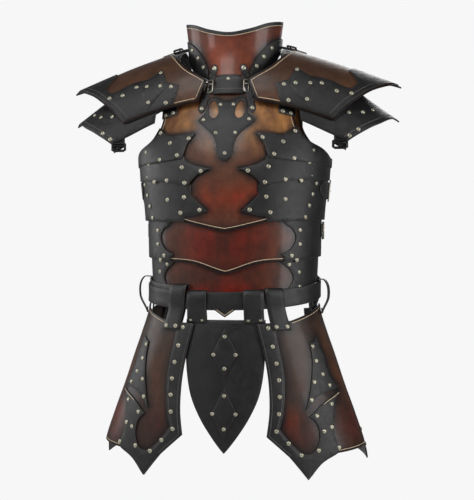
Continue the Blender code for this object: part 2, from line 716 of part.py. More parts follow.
def shoulder_point(u, v, lowered):
    """The upper shoulder arch, or the lower one, which falls away from it towards the arm."""
    ridge, edge, deep = between(SHOULDER_ROWS, u / SHOULDER_REACH)
    ridge *= SHOULDER_RISE
    edge *= SHOULDER_FALL
    deep *= SHOULDER_DEPTH
    angle = min(max(v, -1.0), 1.0) * math.pi / 2
    below = max(abs(v) - 1.0, 0.0) * ARCH_SKIRT
    y = -deep * math.sin(angle)
    z = edge + (ridge - edge) * math.cos(angle) - below
    if lowered:
        share = max(u / SHOULDER_REACH - DROP_START, 0.0) / (1 - DROP_START)
        z -= LOWER_DROP * share ** DROP_POWER
    return Vector((u, y * (1.0 if y < 0 else BACK_SHARE), z))


def shoulder_form(lowered):
    """The form of the upper or the lower shoulder plates."""
    ends = (SHOULDER_ROWS[0][0] * SHOULDER_REACH, SHOULDER_REACH)
    flat = (1.0, (SHOULDER_DEPTH + SHOULDER_RISE) * ARCH_FLAT_SHARE)

    def point(u, v):
        return shoulder_point(u, v, lowered)

    return Form(point, ends, (-1.5, 1.5), (7, 12), flat, -1.0, False)


def strap_form(arch, torso):
    """Where a shoulder strap lies: under the arch, then down onto the breastplate and the backplate."""

    def point(u, v):
        under = arch.place(u, v, -STRAP - 2 * GAP)
        share = min(max((abs(v) - STRAP_LEAVES_ARCH) / (1 - STRAP_LEAVES_ARCH), 0.0), 1.0)
        if share == 0:
            return under
        drop = under.z
        wide = between(TORSO_ROWS, -drop / TORSO_LENGTH)[0] * CHEST_HALF_WIDTH
        turn = math.asin((u / wide) ** (TORSO_SQUARENESS / 2)) / (math.pi / 2)
        clear = 2 * GAP if v > 0 else OVERLAY + 4 * GAP
        body = torso.place(turn if v > 0 else 2 - turn, drop, ON_PLATE + clear)
        return Vector((u, under.y + (body.y - under.y) * share, drop))

    ends = (SHOULDER_STRAP_IN, SHOULDER_STRAP_OUT)
    return Form(point, ends, (-1.2, 1.2), (2, 14), (1.0, STRAP_FLAT), -1.0, False)


def make_shoulders(shop, torso):
    """The shoulder plates, their overlays and the straps that carry them."""
    arch = shoulder_form(False)
    lower_arch = shoulder_form(True)

    def shoulder_pattern(table):
        return [(out * SHOULDER_REACH, v) for out, v in table]

    shop.add_pair("pauldron_upper", bent(arch, [shoulder_pattern(PAULDRON_UPPER)], PLATE, level(0)), "brown")
    cap = shoulder_pattern(PAULDRON_CAP)
    shop.add_pair("pauldron_cap", bent(arch, [cap], OVERLAY, level(ON_PLATE)), "black")
    under = level(-PLATE + GAP)
    lower = shoulder_pattern(PAULDRON_LOWER)
    shop.add_pair("pauldron_lower", bent(lower_arch, [lower], PLATE, under), "black")
    out = ARM_STRAP_PLACE * SHOULDER_REACH
    half = ARM_STRAP_WIDTH / 2
    stub = rectangle(out - half, out + half, *ARM_STRAP_ENDS)
    behind = level(-PLATE - STRAP)
    shop.add_pair("arm_strap", bent(lower_arch, [stub], STRAP, behind), "black")
    straps = strap_form(arch, torso)
    band = rectangle(SHOULDER_STRAP_IN, SHOULDER_STRAP_OUT, -SHOULDER_STRAP_END, SHOULDER_STRAP_END)
    shop.add_pair("shoulder_strap", bent(straps, [band], STRAP, level(0)), "black")


def main():
    shop = Workshop()
    torso = round_form(
        TORSO_ROWS, CHEST_HALF_WIDTH, CHEST_DEPTH, 0.0, TORSO_LENGTH, TORSO_SQUARENESS, (12, 8)
    )
    hips = round_form(
        HIP_ROWS, HEM_HALF_WIDTH, HEM_DEPTH, -BELT_DROP, SKIRT_LENGTH, HIP_SQUARENESS, (12, 6)
    )
    collar = round_form(COLLAR_ROWS, COLLAR_HALF_WIDTH, COLLAR_DEPTH, 0.0, -COLLAR_HEIGHT, 2.0, (12, 4))
    make_torso(shop, torso)
    make_lames(shop, torso)
    make_belt(shop, hips)
    make_skirt(shop, hips)
    make_collar(shop, collar)
    make_throat(shop, throat_form(torso, collar))
    make_shoulders(shop, torso)


main()
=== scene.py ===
"""The looks of a leather cuirass: bent leather plates with rounded edges, rivets, scored lines and buckles.

Every plate is cut flat from a pattern and bent onto a smooth form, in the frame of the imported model:
metres, +Z up, the front faces -Y, and the origin is at the base of the wearer's neck.
"""

import math

import bpy
import numpy as np
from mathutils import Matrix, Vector, kdtree
from mathutils.geometry import delaunay_2d_cdt


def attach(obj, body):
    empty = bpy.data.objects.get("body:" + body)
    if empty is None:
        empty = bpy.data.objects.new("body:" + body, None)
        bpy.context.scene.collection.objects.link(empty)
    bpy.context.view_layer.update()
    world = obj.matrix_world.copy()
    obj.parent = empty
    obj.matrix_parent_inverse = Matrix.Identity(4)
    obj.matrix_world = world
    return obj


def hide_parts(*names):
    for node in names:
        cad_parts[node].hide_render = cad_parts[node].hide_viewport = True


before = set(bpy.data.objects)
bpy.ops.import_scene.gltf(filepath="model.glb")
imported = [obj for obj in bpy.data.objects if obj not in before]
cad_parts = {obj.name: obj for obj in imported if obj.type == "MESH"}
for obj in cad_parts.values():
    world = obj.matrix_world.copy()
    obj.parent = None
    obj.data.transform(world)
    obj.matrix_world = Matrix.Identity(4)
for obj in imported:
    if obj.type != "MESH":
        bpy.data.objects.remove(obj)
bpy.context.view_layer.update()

# The view that the picture was taken from: its size in pixels, and the camera's place
VIEW_SIZE = (474, 500)
VIEW_DISTANCE = 2.2
VIEW_TURN = math.radians(8.5)
VIEW_HEIGHT = -0.32
LENS = 75.4
SENSOR = 36.0
AXIS_SHIFT = 0.0042

# Leather: thicknesses, gaps between layers and how a plate's skin is divided
PLATE = 0.003
OVERLAY = 0.002
STRAP = 0.002
GAP = 0.0004
ON_PLATE = PLATE + GAP
ON_OVERLAY = ON_PLATE + OVERLAY + GAP
ROUNDING = 0.0007
GRID = 0.0085
FINE_GRID = 0.006
THROAT_GRID = 0.005
ROW_SHARE = 0.87
EDGE_REACH = 0.030
SIDE_LIMIT = 0.997

# Torso
CHEST_HALF_WIDTH = 0.196
CHEST_DEPTH = 0.138
BACK_SHARE = 0.86
TORSO_LENGTH = 0.45
TORSO_SQUARENESS = 2.3

# Hips and thigh plates
HEM_HALF_WIDTH = 0.270
HEM_DEPTH = 0.155
BELT_DROP = 0.42
SKIRT_LENGTH = 0.35
HIP_SQUARENESS = 2.15

# Belt and the loops that hang from it
BELT_WIDTH = 0.036
BELT_SAG = 0.020
BELT_POINT = 0.014
BELT_POINT_HALF = 0.06
BELT_V_SHARE = 0.8
BELT_V_INSET = 0.004
BELT_RISE = 0.010
BELT_START = -1.5
BELT_END = BELT_START + 31 / 6
LOOP_WIDTH = 0.047
LOOP_LEAN = 0.16
SIDE_LOOP_WIDTH = 0.026
SIDE_LOOP_BULGE = 0.017
LOOP_RIVET_UP = 0.007
SIDE_LOOP_RIVET_UP = 0.008
LOOP_RIVET_SHARE = 0.3

# Collar
COLLAR_HALF_WIDTH = 0.100
COLLAR_DEPTH = 0.078
COLLAR_HEIGHT = 0.155
BAR_WIDTH = 0.048
BAR_SPREAD = 0.0100
BAR_TOP = 0.034
BAR_BOTTOM = -0.006
BAR_RIVET_IN = 0.009
BAR_GROOVES = (0.25, 0.80)
BAR_GROOVE_WIDTH = 0.0014
RIM_INSET = 0.0040
RIM_WIDTH = 0.0056
RIM_LINE_INSET = 0.0078
COLLAR_STRAP_WIDTH = 0.014
COLLAR_STRAP_TOP = (0.0290, 0.050)
COLLAR_STRAP_END = (0.052, -0.040)
BUCKLE_PLACE = 0.45
BUCKLE_WIDTH = 0.019
BUCKLE_LENGTH = 0.026
BUCKLE_BAR = 0.0024

# Shoulder plates, with their straps, their buckles' width, length and bar, and the tabs on the ridges
SHOULDER_REACH = 0.345
SHOULDER_DEPTH = 0.110
SHOULDER_RISE = 0.0975
SHOULDER_FALL = 0.085
LOWER_DROP = 0.070
DROP_START = 0.34
DROP_POWER = 1.1
ARCH_SKIRT = 0.1
SHOULDER_STRAP_IN = 0.103
SHOULDER_STRAP_OUT = 0.135
SHOULDER_STRAP_END = 1.16
STRAP_LEAVES_ARCH = 0.70
ARM_STRAP_PLACE = 0.652
ARM_STRAP_WIDTH = 0.024
ARM_STRAP_ENDS = (0.82, 1.19)
ARM_BUCKLE_AT = 1.13
ARM_BUCKLE = (0.027, 0.015, 0.0055)
TAB = (0.098, 0.150, -0.07, 0.07)
TAB_BUCKLE_AT = 0.118
TAB_BUCKLE = (0.028, 0.018, 0.0040)

# Rivets, the sizes of the odd ones as shares of these, and scored lines with their distances from the
# edges that they run beside
RIVET_RADIUS = 0.0046
RIVET_HEIGHT = 0.0019
SMALL_RIVET = 0.9
THROAT_RIVET = 0.85
STRAP_TOP_RIVET = 1.15
LINE_WIDTH = 0.0011
LINE_RISE = 0.00018
LINE_INSET = 0.0062
HEM_LINE_INSET = 0.005
NOTCH_LINE_INSET = 0.002
BORDER_LINE_INSET = 0.0045
APRON_GROOVE_INSET = 0.006
SHOULDER_LINE_INSET = 0.0065
SHOULDER_HIGHLIT_LINE_INSET = 0.0085
SHOULDER_GROOVE_INSET = 0.010
SHOULDER_GROOVE_WIDTH = 0.0016

# Torso form: below the origin as a share of TORSO_LENGTH, half width and depth as shares of the chest's
TORSO_ROWS = (
    (-0.09, 0.90, 0.52),
    (0.00, 0.97, 0.63),
    (0.10, 1.00, 0.79),
    (0.27, 1.00, 0.95),
    (0.40, 0.968, 1.00),
    (0.57, 0.930, 0.990),
    (0.67, 0.925, 0.980),
    (0.77, 0.920, 0.965),
    (0.86, 0.910, 0.960),
    (1.00, 0.905, 0.960),
)

# Hip form: below the belt as a share of SKIRT_LENGTH, half width and depth as shares of the hem's
HIP_ROWS = (
    (-0.20, 0.655, 0.848),
    (0.06, 0.660, 0.848),
    (0.20, 0.714, 0.875),
    (0.31, 0.765, 0.890),
    (0.51, 0.853, 0.916),
    (0.66, 0.925, 0.942),
    (0.86, 1.010, 0.968),
    (1.10, 1.060, 1.000),
)

# Collar form: above the origin as a share of COLLAR_HEIGHT, half width and depth as shares of the collar's
COLLAR_ROWS = (
    (-0.20, 0.96, 1.26),
    (0.00, 0.92, 1.20),
    (0.25, 0.90, 1.05),
    (0.60, 0.93, 0.96),
    (1.10, 1.02, 1.00),
)

# Shoulder form: outward as a share of SHOULDER_REACH, ridge and lower edge as shares of the rise and the
# fall, depth as a share of SHOULDER_DEPTH
SHOULDER_ROWS = (
    (0.08, 1.06, -0.22, 1.00),
    (0.17, 1.06, -0.28, 1.00),
    (0.31, 0.99, -0.38, 0.99),
    (0.45, 0.84, -0.53, 0.96),
    (0.62, 0.64, -0.75, 0.91),
    (0.76, 0.45, -0.88, 0.86),
    (1.00, 0.11, -1.06, 0.77),
)

# Flat patterns: a third value of 1 makes the outline run round through that point, and the others are
# corners. Torso patterns: across as a share of the chest's half width, or past 1 in quarter turns from
# the front, and down as a share of TORSO_LENGTH. Only one half is given of a symmetric piece.
BREASTPLATE = (
    (0.00, 0.004), (0.275, 0.004), (0.43, 0.018), (0.68, 0.049), (0.67, 0.104, 1), (0.70, 0.163, 1),
    (0.78, 0.216, 1), (0.94, 0.260), (0.955, 0.283), (0.89, 0.569), (0.42, 0.588), (0.00, 0.631),
)
THROAT_ORNAMENT = (
    (0.000, 0.050, 1), (0.100, 0.041, 1), (0.132, 0.031), (0.175, 0.036, 1), (0.200, 0.060, 1),
    (0.208, 0.090, 1), (0.225, 0.110, 1), (0.291, 0.140), (0.143, 0.201, 1), (0.104, 0.229, 1),
    (0.087, 0.259, 1), (0.069, 0.302), (0.000, 0.324),
)
THROAT_HOLE = (
    (0.132, 0.046), (0.178, 0.058, 1), (0.188, 0.092, 1), (0.160, 0.124, 1), (0.125, 0.131, 1),
    (0.090, 0.116, 1), (0.092, 0.082, 1),
)
# The ornament's lowest rivet, down as a share of TORSO_LENGTH
THROAT_LOWEST_RIVET = 0.288
FLAP_UPPER = (
    (0.70, 0.163), (0.62, 0.196, 1), (0.55, 0.206), (0.46, 0.200, 1), (0.305, 0.198), (0.38, 0.240, 1),
    (0.42, 0.289), (0.44, 0.309), (0.71, 0.322), (1.16, 0.329), (1.16, 0.293), (0.99, 0.290),
    (0.94, 0.260), (0.78, 0.216, 1),
)
FLAP_MIDDLE = (
    (0.43, 0.291), (0.40, 0.319), (0.29, 0.342, 1), (0.145, 0.356), (0.28, 0.385, 1), (0.37, 0.428),
    (0.62, 0.404), (1.16, 0.384), (1.16, 0.311), (0.71, 0.303),
)
FLAP_LOWER = (
    (0.36, 0.413), (0.34, 0.431), (0.34, 0.469), (0.26, 0.505, 1), (0.170, 0.540), (0.28, 0.556, 1),
    (0.41, 0.563), (0.42, 0.587), (1.16, 0.568), (1.16, 0.366), (0.62, 0.386),
)
# Shares of TORSO_LENGTH between which the upper flap and the middle one rise over the flap below them
FLAP_LEVELS = (0.15, 0.30, 0.385)
LAME_UPPER = ((0.00, 0.522), (0.88, 0.522), (0.88, 0.745), (0.60, 0.762), (0.33, 0.773, 1), (0.00, 0.819))
LAME_UPPER_SIDE = (
    (0.50, 0.530, 1), (0.60, 0.596, 1), (0.67, 0.618), (0.705, 0.651, 1), (0.67, 0.698, 1),
    (0.56, 0.731), (0.60, 0.762), (0.88, 0.745), (1.24, 0.733), (1.24, 0.522), (0.50, 0.522),
)
LAME_LOWER = ((0.00, 0.700), (0.845, 0.700), (0.845, 0.905), (0.00, 0.925))
LAME_LOWER_SIDE = (
    (0.48, 0.705), (0.575, 0.769, 1), (0.655, 0.797), (0.695, 0.836, 1), (0.66, 0.872, 1),
    (0.60, 0.893), (0.61, 0.912), (0.845, 0.905), (1.24, 0.898), (1.24, 0.700), (0.48, 0.700),
)
BACKPLATE = (
    (2.00, 0.020), (1.72, 0.005), (1.57, 0.030), (1.55, 0.130, 1), (1.44, 0.210, 1), (1.30, 0.262, 1),
    (1.19, 0.292), (1.19, 0.568), (2.00, 0.600),
)
BACK_LAME_UPPER = ((2.00, 0.522), (1.19, 0.522), (1.19, 0.736), (2.00, 0.780))
BACK_LAME_LOWER = ((2.00, 0.700), (1.19, 0.700), (1.19, 0.900), (2.00, 0.920))
SIDE_STRAP_UPPER = ((0.93, 0.398), (1.36, 0.398), (1.36, 0.474), (0.93, 0.474), (0.90, 0.436, 1))
SIDE_STRAP_LOWER = ((1.00, 0.590), (1.36, 0.590), (1.36, 0.650), (1.00, 0.650), (0.97, 0.620, 1))
# Each side strap's outline, its buckle's place round the body, how far down its middle is, its buckle's
# width, length and bar, and its rivets' places round the body
SIDE_STRAPS = {
    "upper": (SIDE_STRAP_UPPER, 1.04, 0.436, (0.042, 0.026, 0.003), (1.31, 1.16)),
    "lower": (SIDE_STRAP_LOWER, 1.10, 0.620, (0.034, 0.022, 0.003), (1.31,)),
}

# Hip patterns: across as a share of the hem's half width, where 1 is the side, or past 1 in quarter turns,
# and below the belt as a share of SKIRT_LENGTH
TASSET = (
    (1.000, 0.028), (0.467, 0.117), (0.230, 0.133), (0.282, 0.294, 1), (0.318, 0.450, 1),
    (0.329, 0.611, 1), (0.310, 0.759), (0.476, 0.874), (0.607, 1.000), (0.704, 0.911, 1), (0.810, 0.863),
    (1.000, 0.847),
)
TASSET_BORDER = (
    (0.467, 0.117), (0.230, 0.133), (0.282, 0.294, 1), (0.318, 0.450, 1), (0.329, 0.611, 1),
    (0.310, 0.759), (0.476, 0.874), (0.607, 1.000), (0.704, 0.911, 1), (0.810, 0.863), (0.816, 0.834),
    (0.778, 0.749, 1), (0.778, 0.630, 1), (0.799, 0.531), (0.700, 0.585, 1), (0.610, 0.654),
    (0.654, 0.689, 1), (0.680, 0.743, 1), (0.671, 0.811, 1), (0.632, 0.854, 1), (0.577, 0.857, 1),
    (0.500, 0.810, 1), (0.402, 0.717), (0.426, 0.635, 1), (0.431, 0.445, 1), (0.363, 0.175),
    (0.467, 0.165),
)
TASSET_DAGGER = (
    (0.639, 0.219), (0.599, 0.249), (0.618, 0.340, 1), (0.614, 0.477, 1), (0.585, 0.616),
    (0.660, 0.545, 1), (0.796, 0.506), (0.730, 0.410, 1), (0.689, 0.309, 1),
)
# The rivets near a rear thigh plate's front edge, which show beside the front plate
REAR_RIVETS = ((1.030, 0.770), (1.050, 0.860))
REAR_TASSET = (
    (0.970, 0.100), (0.970, 0.800), (1.010, 0.880), (1.060, 0.945), (1.200, 0.920, 1), (1.340, 0.890, 1),
    (1.480, 0.860), (1.500, 0.300), (1.440, 0.070), (1.100, 0.050),
)
APRON = (
    (0.000, 0.109), (0.296, 0.109), (0.290, 0.377, 1), (0.257, 0.529, 1), (0.186, 0.656, 1),
    (0.0985, 0.762, 1), (0.000, 0.857),
)
DIAMOND_HALF_WIDTH = 0.093
DIAMOND_RIVET_IN = 0.045
# An apron diamond's name, and how far down its upper point, middle and lower point are
DIAMONDS = (("upper", 0.157, 0.300, 0.427), ("lower", 0.489, 0.634, 0.764))

# Collar patterns: across as a share of the collar's half width, or past 1 in quarter turns, and up as a
# share of COLLAR_HEIGHT
GORGET_FRONT = (
    (0.00, 0.790, 1), (0.40, 0.838, 1), (0.75, 0.930, 1), (1.00, 1.000), (1.10, 1.000), (1.10, 0.56),
    (0.96, 0.560, 1), (0.78, 0.330, 1), (0.45, 0.170, 1), (0.24, 0.030), (0.00, 0.020),
)
GORGET_BACK = ((2.00, 0.90), (1.05, 0.98), (1.05, 0.58), (1.30, 0.45, 1), (2.00, 0.30, 1))
GORGET_WING = (
    (0.995, 0.770), (0.745, 0.650, 1), (0.560, 0.490, 1), (0.415, 0.270), (0.430, 0.170),
    (0.780, 0.330, 1), (0.960, 0.560, 1), (1.08, 0.56), (1.08, 0.770),
)

# Shoulder patterns: outward as a share of SHOULDER_REACH, round the arch from 0 at the ridge to 1 at the
# front's lower edge, and below 0 behind the ridge, where the plates are cut shorter
PAULDRON_UPPER = (
    (0.370, 0.00, 1), (0.270, 0.54, 1), (0.118, 0.78), (0.170, 0.995), (0.310, 1.00), (0.450, 1.00),
    (0.617, 1.00), (0.693, 0.82, 1), (0.759, 0.69, 1), (0.820, 0.55, 1), (0.900, 0.36, 1), (1.000, 0.00),
    (0.915, -0.12, 1), (0.870, -0.28, 1), (0.810, -0.42, 1), (0.755, -0.55, 1), (0.700, -0.80),
    (0.450, -0.82), (0.165, -0.82), (0.118, -0.72), (0.270, -0.54, 1),
)
PAULDRON_CAP = (
    (0.690, 0.30), (0.728, 0.42, 1), (0.746, 0.51), (0.710, 0.60, 1), (0.580, 0.583, 1),
    (0.475, 0.61), (0.395, 0.543), (0.357, 0.725), (0.281, 0.793), (0.311, 0.975), (0.450, 0.98),
    (0.612, 0.98), (0.686, 0.81, 1), (0.752, 0.68, 1), (0.812, 0.545, 1), (0.890, 0.36, 1), (0.980, 0.02),
    (0.905, -0.10, 1), (0.800, -0.42), (0.700, -0.44), (0.740, -0.05, 1),
)
PAULDRON_LOWER = (
    (0.410, 0.00, 1), (0.415, 0.80, 1), (0.430, 1.13), (0.630, 1.02), (0.695, 1.00), (0.810, 0.735, 1),
    (0.897, 0.49, 1), (0.990, 0.00), (0.930, -0.12, 1), (0.900, -0.30, 1), (0.840, -0.50, 1),
    (0.760, -0.70), (0.430, -0.74),
)


def smooth(rows, at):
    """The columns of a section table at these values of its first column, on a smooth curve."""
    rows = np.array(rows)
    start = rows[:, 0]
    at = np.clip(at, start[0], start[-1])
    width = np.diff(start)
    slope = np.diff(rows[:, 1:], axis=0) / width[:, None]
    bend = np.vstack([slope[:1], (slope[1:] + slope[:-1]) / 2, slope[-1:]])
    bend[1:-1][slope[1:] * slope[:-1] <= 0] = 0
    i = np.clip(np.searchsorted(start, at, side="right") - 1, 0, len(width) - 1)
    wide = width[i][..., None]
    t = (at - start[i])[..., None] / wide
    low = rows[i, 1:] * (1 + 2 * t) * (1 - t) ** 2 + bend[i] * wide * t * (1 - t) ** 2
    high = rows[i + 1, 1:] * t * t * (3 - 2 * t) + bend[i + 1] * wide * t * t * (t - 1)
    return np.moveaxis(low + high, -1, 0)


class Form:
    """A surface that leather is bent onto, given by point(u, v), and the size of its flat pattern."""

    def __init__(self, point, flat, outward=1.0):
        self.point = point
        self.flat = np.array(flat)
        self.outward = outward

    def place(self, u, v, out):
        """The points at u and v, this far out from the form."""
        u, v, out = np.broadcast_arrays(np.asarray(u, float), np.asarray(v, float), np.asarray(out, float))
        nudge = 1e-3
        along_u = self.point(u + nudge, v) - self.point(u - nudge, v)
        along_v = self.point(u, v + nudge) - self.point(u, v - nudge)
        normal = np.cross(along_u, along_v) * self.outward
        normal /= np.linalg.norm(normal, axis=-1, keepdims=True)
        return self.point(u, v) + normal * out[..., None]

    def bent(self, flat, lift):
        """The points of a flat pattern in metres, this far out at each u and v."""
        u = flat[:, 0] / self.flat[0]
        v = flat[:, 1] / self.flat[1]
        return self.place(u, v, lift(u, v))


def superellipse(share, half_width, depth, squareness):
    """The point a share of a quarter turn round, from the front at 0 to the side at 1 and the back at 2."""
    power = 2 / squareness
    side = np.sin(share * math.pi / 2)
    front = np.cos(share * math.pi / 2)
    x = half_width * np.sign(side) * np.abs(side) ** power
    y = -depth * np.sign(front) * np.abs(front) ** power
    return x, np.where(y < 0, y, y * BACK_SHARE)


def round_form(rows, half_width, depth, top, length, squareness):
    """The form of a body section table: its rows go down from top, or up where length is negative."""

    def point(u, v):
        wide, deep = smooth(rows, (top - v) / length)
        x, y = superellipse(u, wide * half_width, deep * depth, squareness)
        return np.stack([x, y, v], -1)

    quarter_turn = (half_width + depth) * 0.78
    return Form(point, (quarter_turn, 1.0))


def shoulder_form(lowered):
    """The upper shoulder arch, or the lower one, which falls away from it towards the arm."""

    def point(u, v):
        ridge, edge, deep = smooth(SHOULDER_ROWS, u / SHOULDER_REACH)
        ridge = ridge * SHOULDER_RISE
        edge = edge * SHOULDER_FALL
        angle = np.clip(v, -1.0, 1.0) * math.pi / 2
        y = -deep * SHOULDER_DEPTH * np.sin(angle)
        z = edge + (ridge - edge) * np.cos(angle) - np.maximum(np.abs(v) - 1, 0) * ARCH_SKIRT
        if lowered:
            share = np.maximum(u / SHOULDER_REACH - DROP_START, 0) / (1 - DROP_START)
            z = z - LOWER_DROP * share ** DROP_POWER
        return np.stack([u, np.where(y < 0, y, y * BACK_SHARE), z], -1)

    half_arch = (SHOULDER_DEPTH + SHOULDER_RISE) * 0.85
    return Form(point, (1.0, half_arch), -1.0)


def on_body(form, rows, half_width, squareness, x, v, share, back, out):
    """The point of a round form at this x, on its front or its back."""
    wide = smooth(rows, share)[0] * half_width
    turn = np.arcsin(np.clip(np.abs(x) / wide, 0, 1) ** (squareness / 2)) / (math.pi / 2)
    turn = np.where(back, 2 - turn, turn)
    return form.place(turn, v, out)


def throat_form(torso, collar):
    """The outer face of the collar's foot and the breastplate's top, whichever stands further forward."""

    def point(u, v):
        chest = on_body(
            torso, TORSO_ROWS, CHEST_HALF_WIDTH, TORSO_SQUARENESS, u, v, -v / TORSO_LENGTH, False, ON_PLATE
        )
        neck = on_body(
            collar, COLLAR_ROWS, COLLAR_HALF_WIDTH, 2.0, u, v, v / COLLAR_HEIGHT, False, ON_PLATE + GAP
        )
        lap = np.clip((v - BAR_TOP) / 0.01, 0, 1)
        y = np.minimum(chest[..., 1], neck[..., 1]) * (1 - lap) + neck[..., 1] * lap
        return np.stack([u, y, v], -1)

    return Form(point, (1.0, 1.0))


def strap_form(arch, torso):
    """Where a shoulder strap lies: under the arch, then down onto the breastplate and the backplate."""

    def point(u, v):
        under = arch.place(u, v, -STRAP - 2 * GAP)
        share = np.clip((np.abs(v) - STRAP_LEAVES_ARCH) / (1 - STRAP_LEAVES_ARCH), 0, 1)
        drop = under[..., 2]
        clear = ON_PLATE + np.where(v > 0, 2 * GAP, OVERLAY + 4 * GAP)
        body = on_body(
            torso, TORSO_ROWS, CHEST_HALF_WIDTH, TORSO_SQUARENESS, u, drop, -drop / TORSO_LENGTH, v < 0, clear
        )
        y = under[..., 1] + (body[..., 1] - under[..., 1]) * share
        return np.stack([u, y, drop], -1)

    return Form(point, (1.0, 0.15), -1.0)


def pattern(rows, table, top, length, squareness, mirrored=False):
    """A table of across and down shares as u, v and roundness. mirrored adds the other half."""
    found = []
    for across, down, *round_there in table:
        if across <= 1:
            wide = float(smooth(rows, np.array(down))[0])
            share = min(across / wide, SIDE_LIMIT)
            across = math.asin(share ** (squareness / 2)) / (math.pi / 2)
        found.append((across, top - down * length, bool(round_there)))
    if mirrored:
        middle = 2 if found[0][0] > 1 else 0
        found += [(2 * middle - u, v, r) for u, v, r in reversed(found) if abs(u - middle) > 1e-6]
    return found


def torso_pattern(table, mirrored=False):
    return pattern(TORSO_ROWS, table, 0.0, TORSO_LENGTH, TORSO_SQUARENESS, mirrored)


def hip_pattern(table, mirrored=False):
    return pattern(HIP_ROWS, table, -BELT_DROP, SKIRT_LENGTH, HIP_SQUARENESS, mirrored)


def collar_pattern(table, mirrored=False):
    return pattern(COLLAR_ROWS, table, 0.0, -COLLAR_HEIGHT, 2.0, mirrored)


def shoulder_pattern(table):
    return [(out * SHOULDER_REACH, v, bool(r)) for out, v, *r in table]


def rectangle(left, right, low, high):
    """The four corners of a band, in u and v."""
    return [(left, low, False), (right, low, False), (right, high, False), (left, high, False)]


def other_side(points):
    """The same outline on the other side of the middle."""
    return [(-u, v, r) for u, v, r in points]


def unit(vectors):
    return vectors / np.maximum(np.linalg.norm(vectors, axis=-1, keepdims=True), 1e-12)


def sampled(points, flat, step=0.004, closed=True):
    """The outline of pattern points in flat metres, and the index at which each point falls."""
    corners = np.array([(u * flat[0], v * flat[1]) for u, v, _ in points])
    count = len(corners)
    chords = np.roll(corners, -1, 0) - corners
    lengths = np.linalg.norm(chords, axis=1)
    ways = unit(chords)
    found = []
    marks = []
    for k in range(count if closed else count - 1):
        after = (k + 1) % count
        leave = unit(ways[k - 1] + ways[k]) if points[k][2] else ways[k]
        arrive = unit(ways[k] + ways[after]) if points[after][2] else ways[k]
        steps = max(1, math.ceil(lengths[k] / step))
        t = (np.arange(steps) / steps)[:, None]
        marks.append(len(found))
        low = corners[k] * (1 + 2 * t) * (1 - t) ** 2 + leave * lengths[k] * t * (1 - t) ** 2
        high = corners[after] * t * t * (3 - 2 * t) + arrive * lengths[k] * t * t * (t - 1)
        found.extend(low + high)
    if not closed:
        marks.append(len(found))
        found.append(corners[-1])
    return np.array(found), marks


def turning(loop):
    """1 for a loop that runs counter-clockwise, and -1 for one that runs clockwise."""
    x, y = loop.T
    return 1.0 if np.sum(x * np.roll(y, -1) - y * np.roll(x, -1)) > 0 else -1.0


def inset(path, distance, closed=True):
    """A path moved to its left by this distance."""
    back = path - np.roll(path, 1, 0)
    ahead = np.roll(path, -1, 0) - path
    if not closed:
        back[0] = ahead[0]
        ahead[-1] = back[-1]
    before = unit(np.stack([-back[:, 1], back[:, 0]], 1))
    after = unit(np.stack([-ahead[:, 1], ahead[:, 0]], 1))
    together = 1 + np.sum(before * after, 1, keepdims=True)
    return path + distance * (before + after) / np.maximum(together, 0.4)


def inside(points, loops):
    """Which points are inside the first loop and outside the others."""
    odd = np.zeros(len(points), bool)
    x, y = points.T
    for loop in loops:
        x0, y0 = loop.T
        x1, y1 = np.roll(loop, -1, 0).T
        rise = np.where(y1 == y0, 1e-12, y1 - y0)
        across = (y0[None] > y[:, None]) != (y1[None] > y[:, None])
        left = x[:, None] < (x1 - x0) * (y[:, None] - y0) / rise + x0
        odd ^= np.sum(across & left, 1) % 2 == 1
    return odd


class Shape:
    """Points, faces and, for each point, how far it is from an edge as a share of EDGE_REACH."""

    def __init__(self, points, faces, edge):
        self.points = points
        self.faces = faces
        self.edge = edge

    def mirrored(self):
        points = self.points * np.array((-1.0, 1.0, 1.0))
        return Shape(points, [face[::-1] for face in self.faces], self.edge)

    def joined(self, other):
        start = len(self.points)
        faces = self.faces + [tuple(k + start for k in face) for face in other.faces]
        return Shape(np.vstack([self.points, other.points]), faces, np.concatenate([self.edge, other.edge]))


def all_joined(shapes):
    whole = shapes[0]
    for shape in shapes[1:]:
        whole = whole.joined(shape)
    return whole


def as_lift(lift):
    return lift if callable(lift) else lambda u, v: np.full(np.shape(u), lift)


def sheet_points(rings, grid):
    """The rings' own points, and a staggered grid of points inside them."""
    low = rings[0].min(0)
    high = rings[0].max(0)
    rows = np.arange(low[1], high[1], grid * ROW_SHARE)
    columns = np.arange(low[0], high[0], grid)
    x, y = np.meshgrid(columns, rows)
    x[1::2] += grid / 2
    points = np.stack([x.ravel(), y.ravel()], 1)
    points = points[inside(points, rings)]
    outline = np.vstack(rings)
    if len(points):
        away = np.array([np.min(np.sum((outline - p) ** 2, 1)) for p in points])
        points = points[away > (0.5 * grid) ** 2]
    return np.vstack([outline, points])


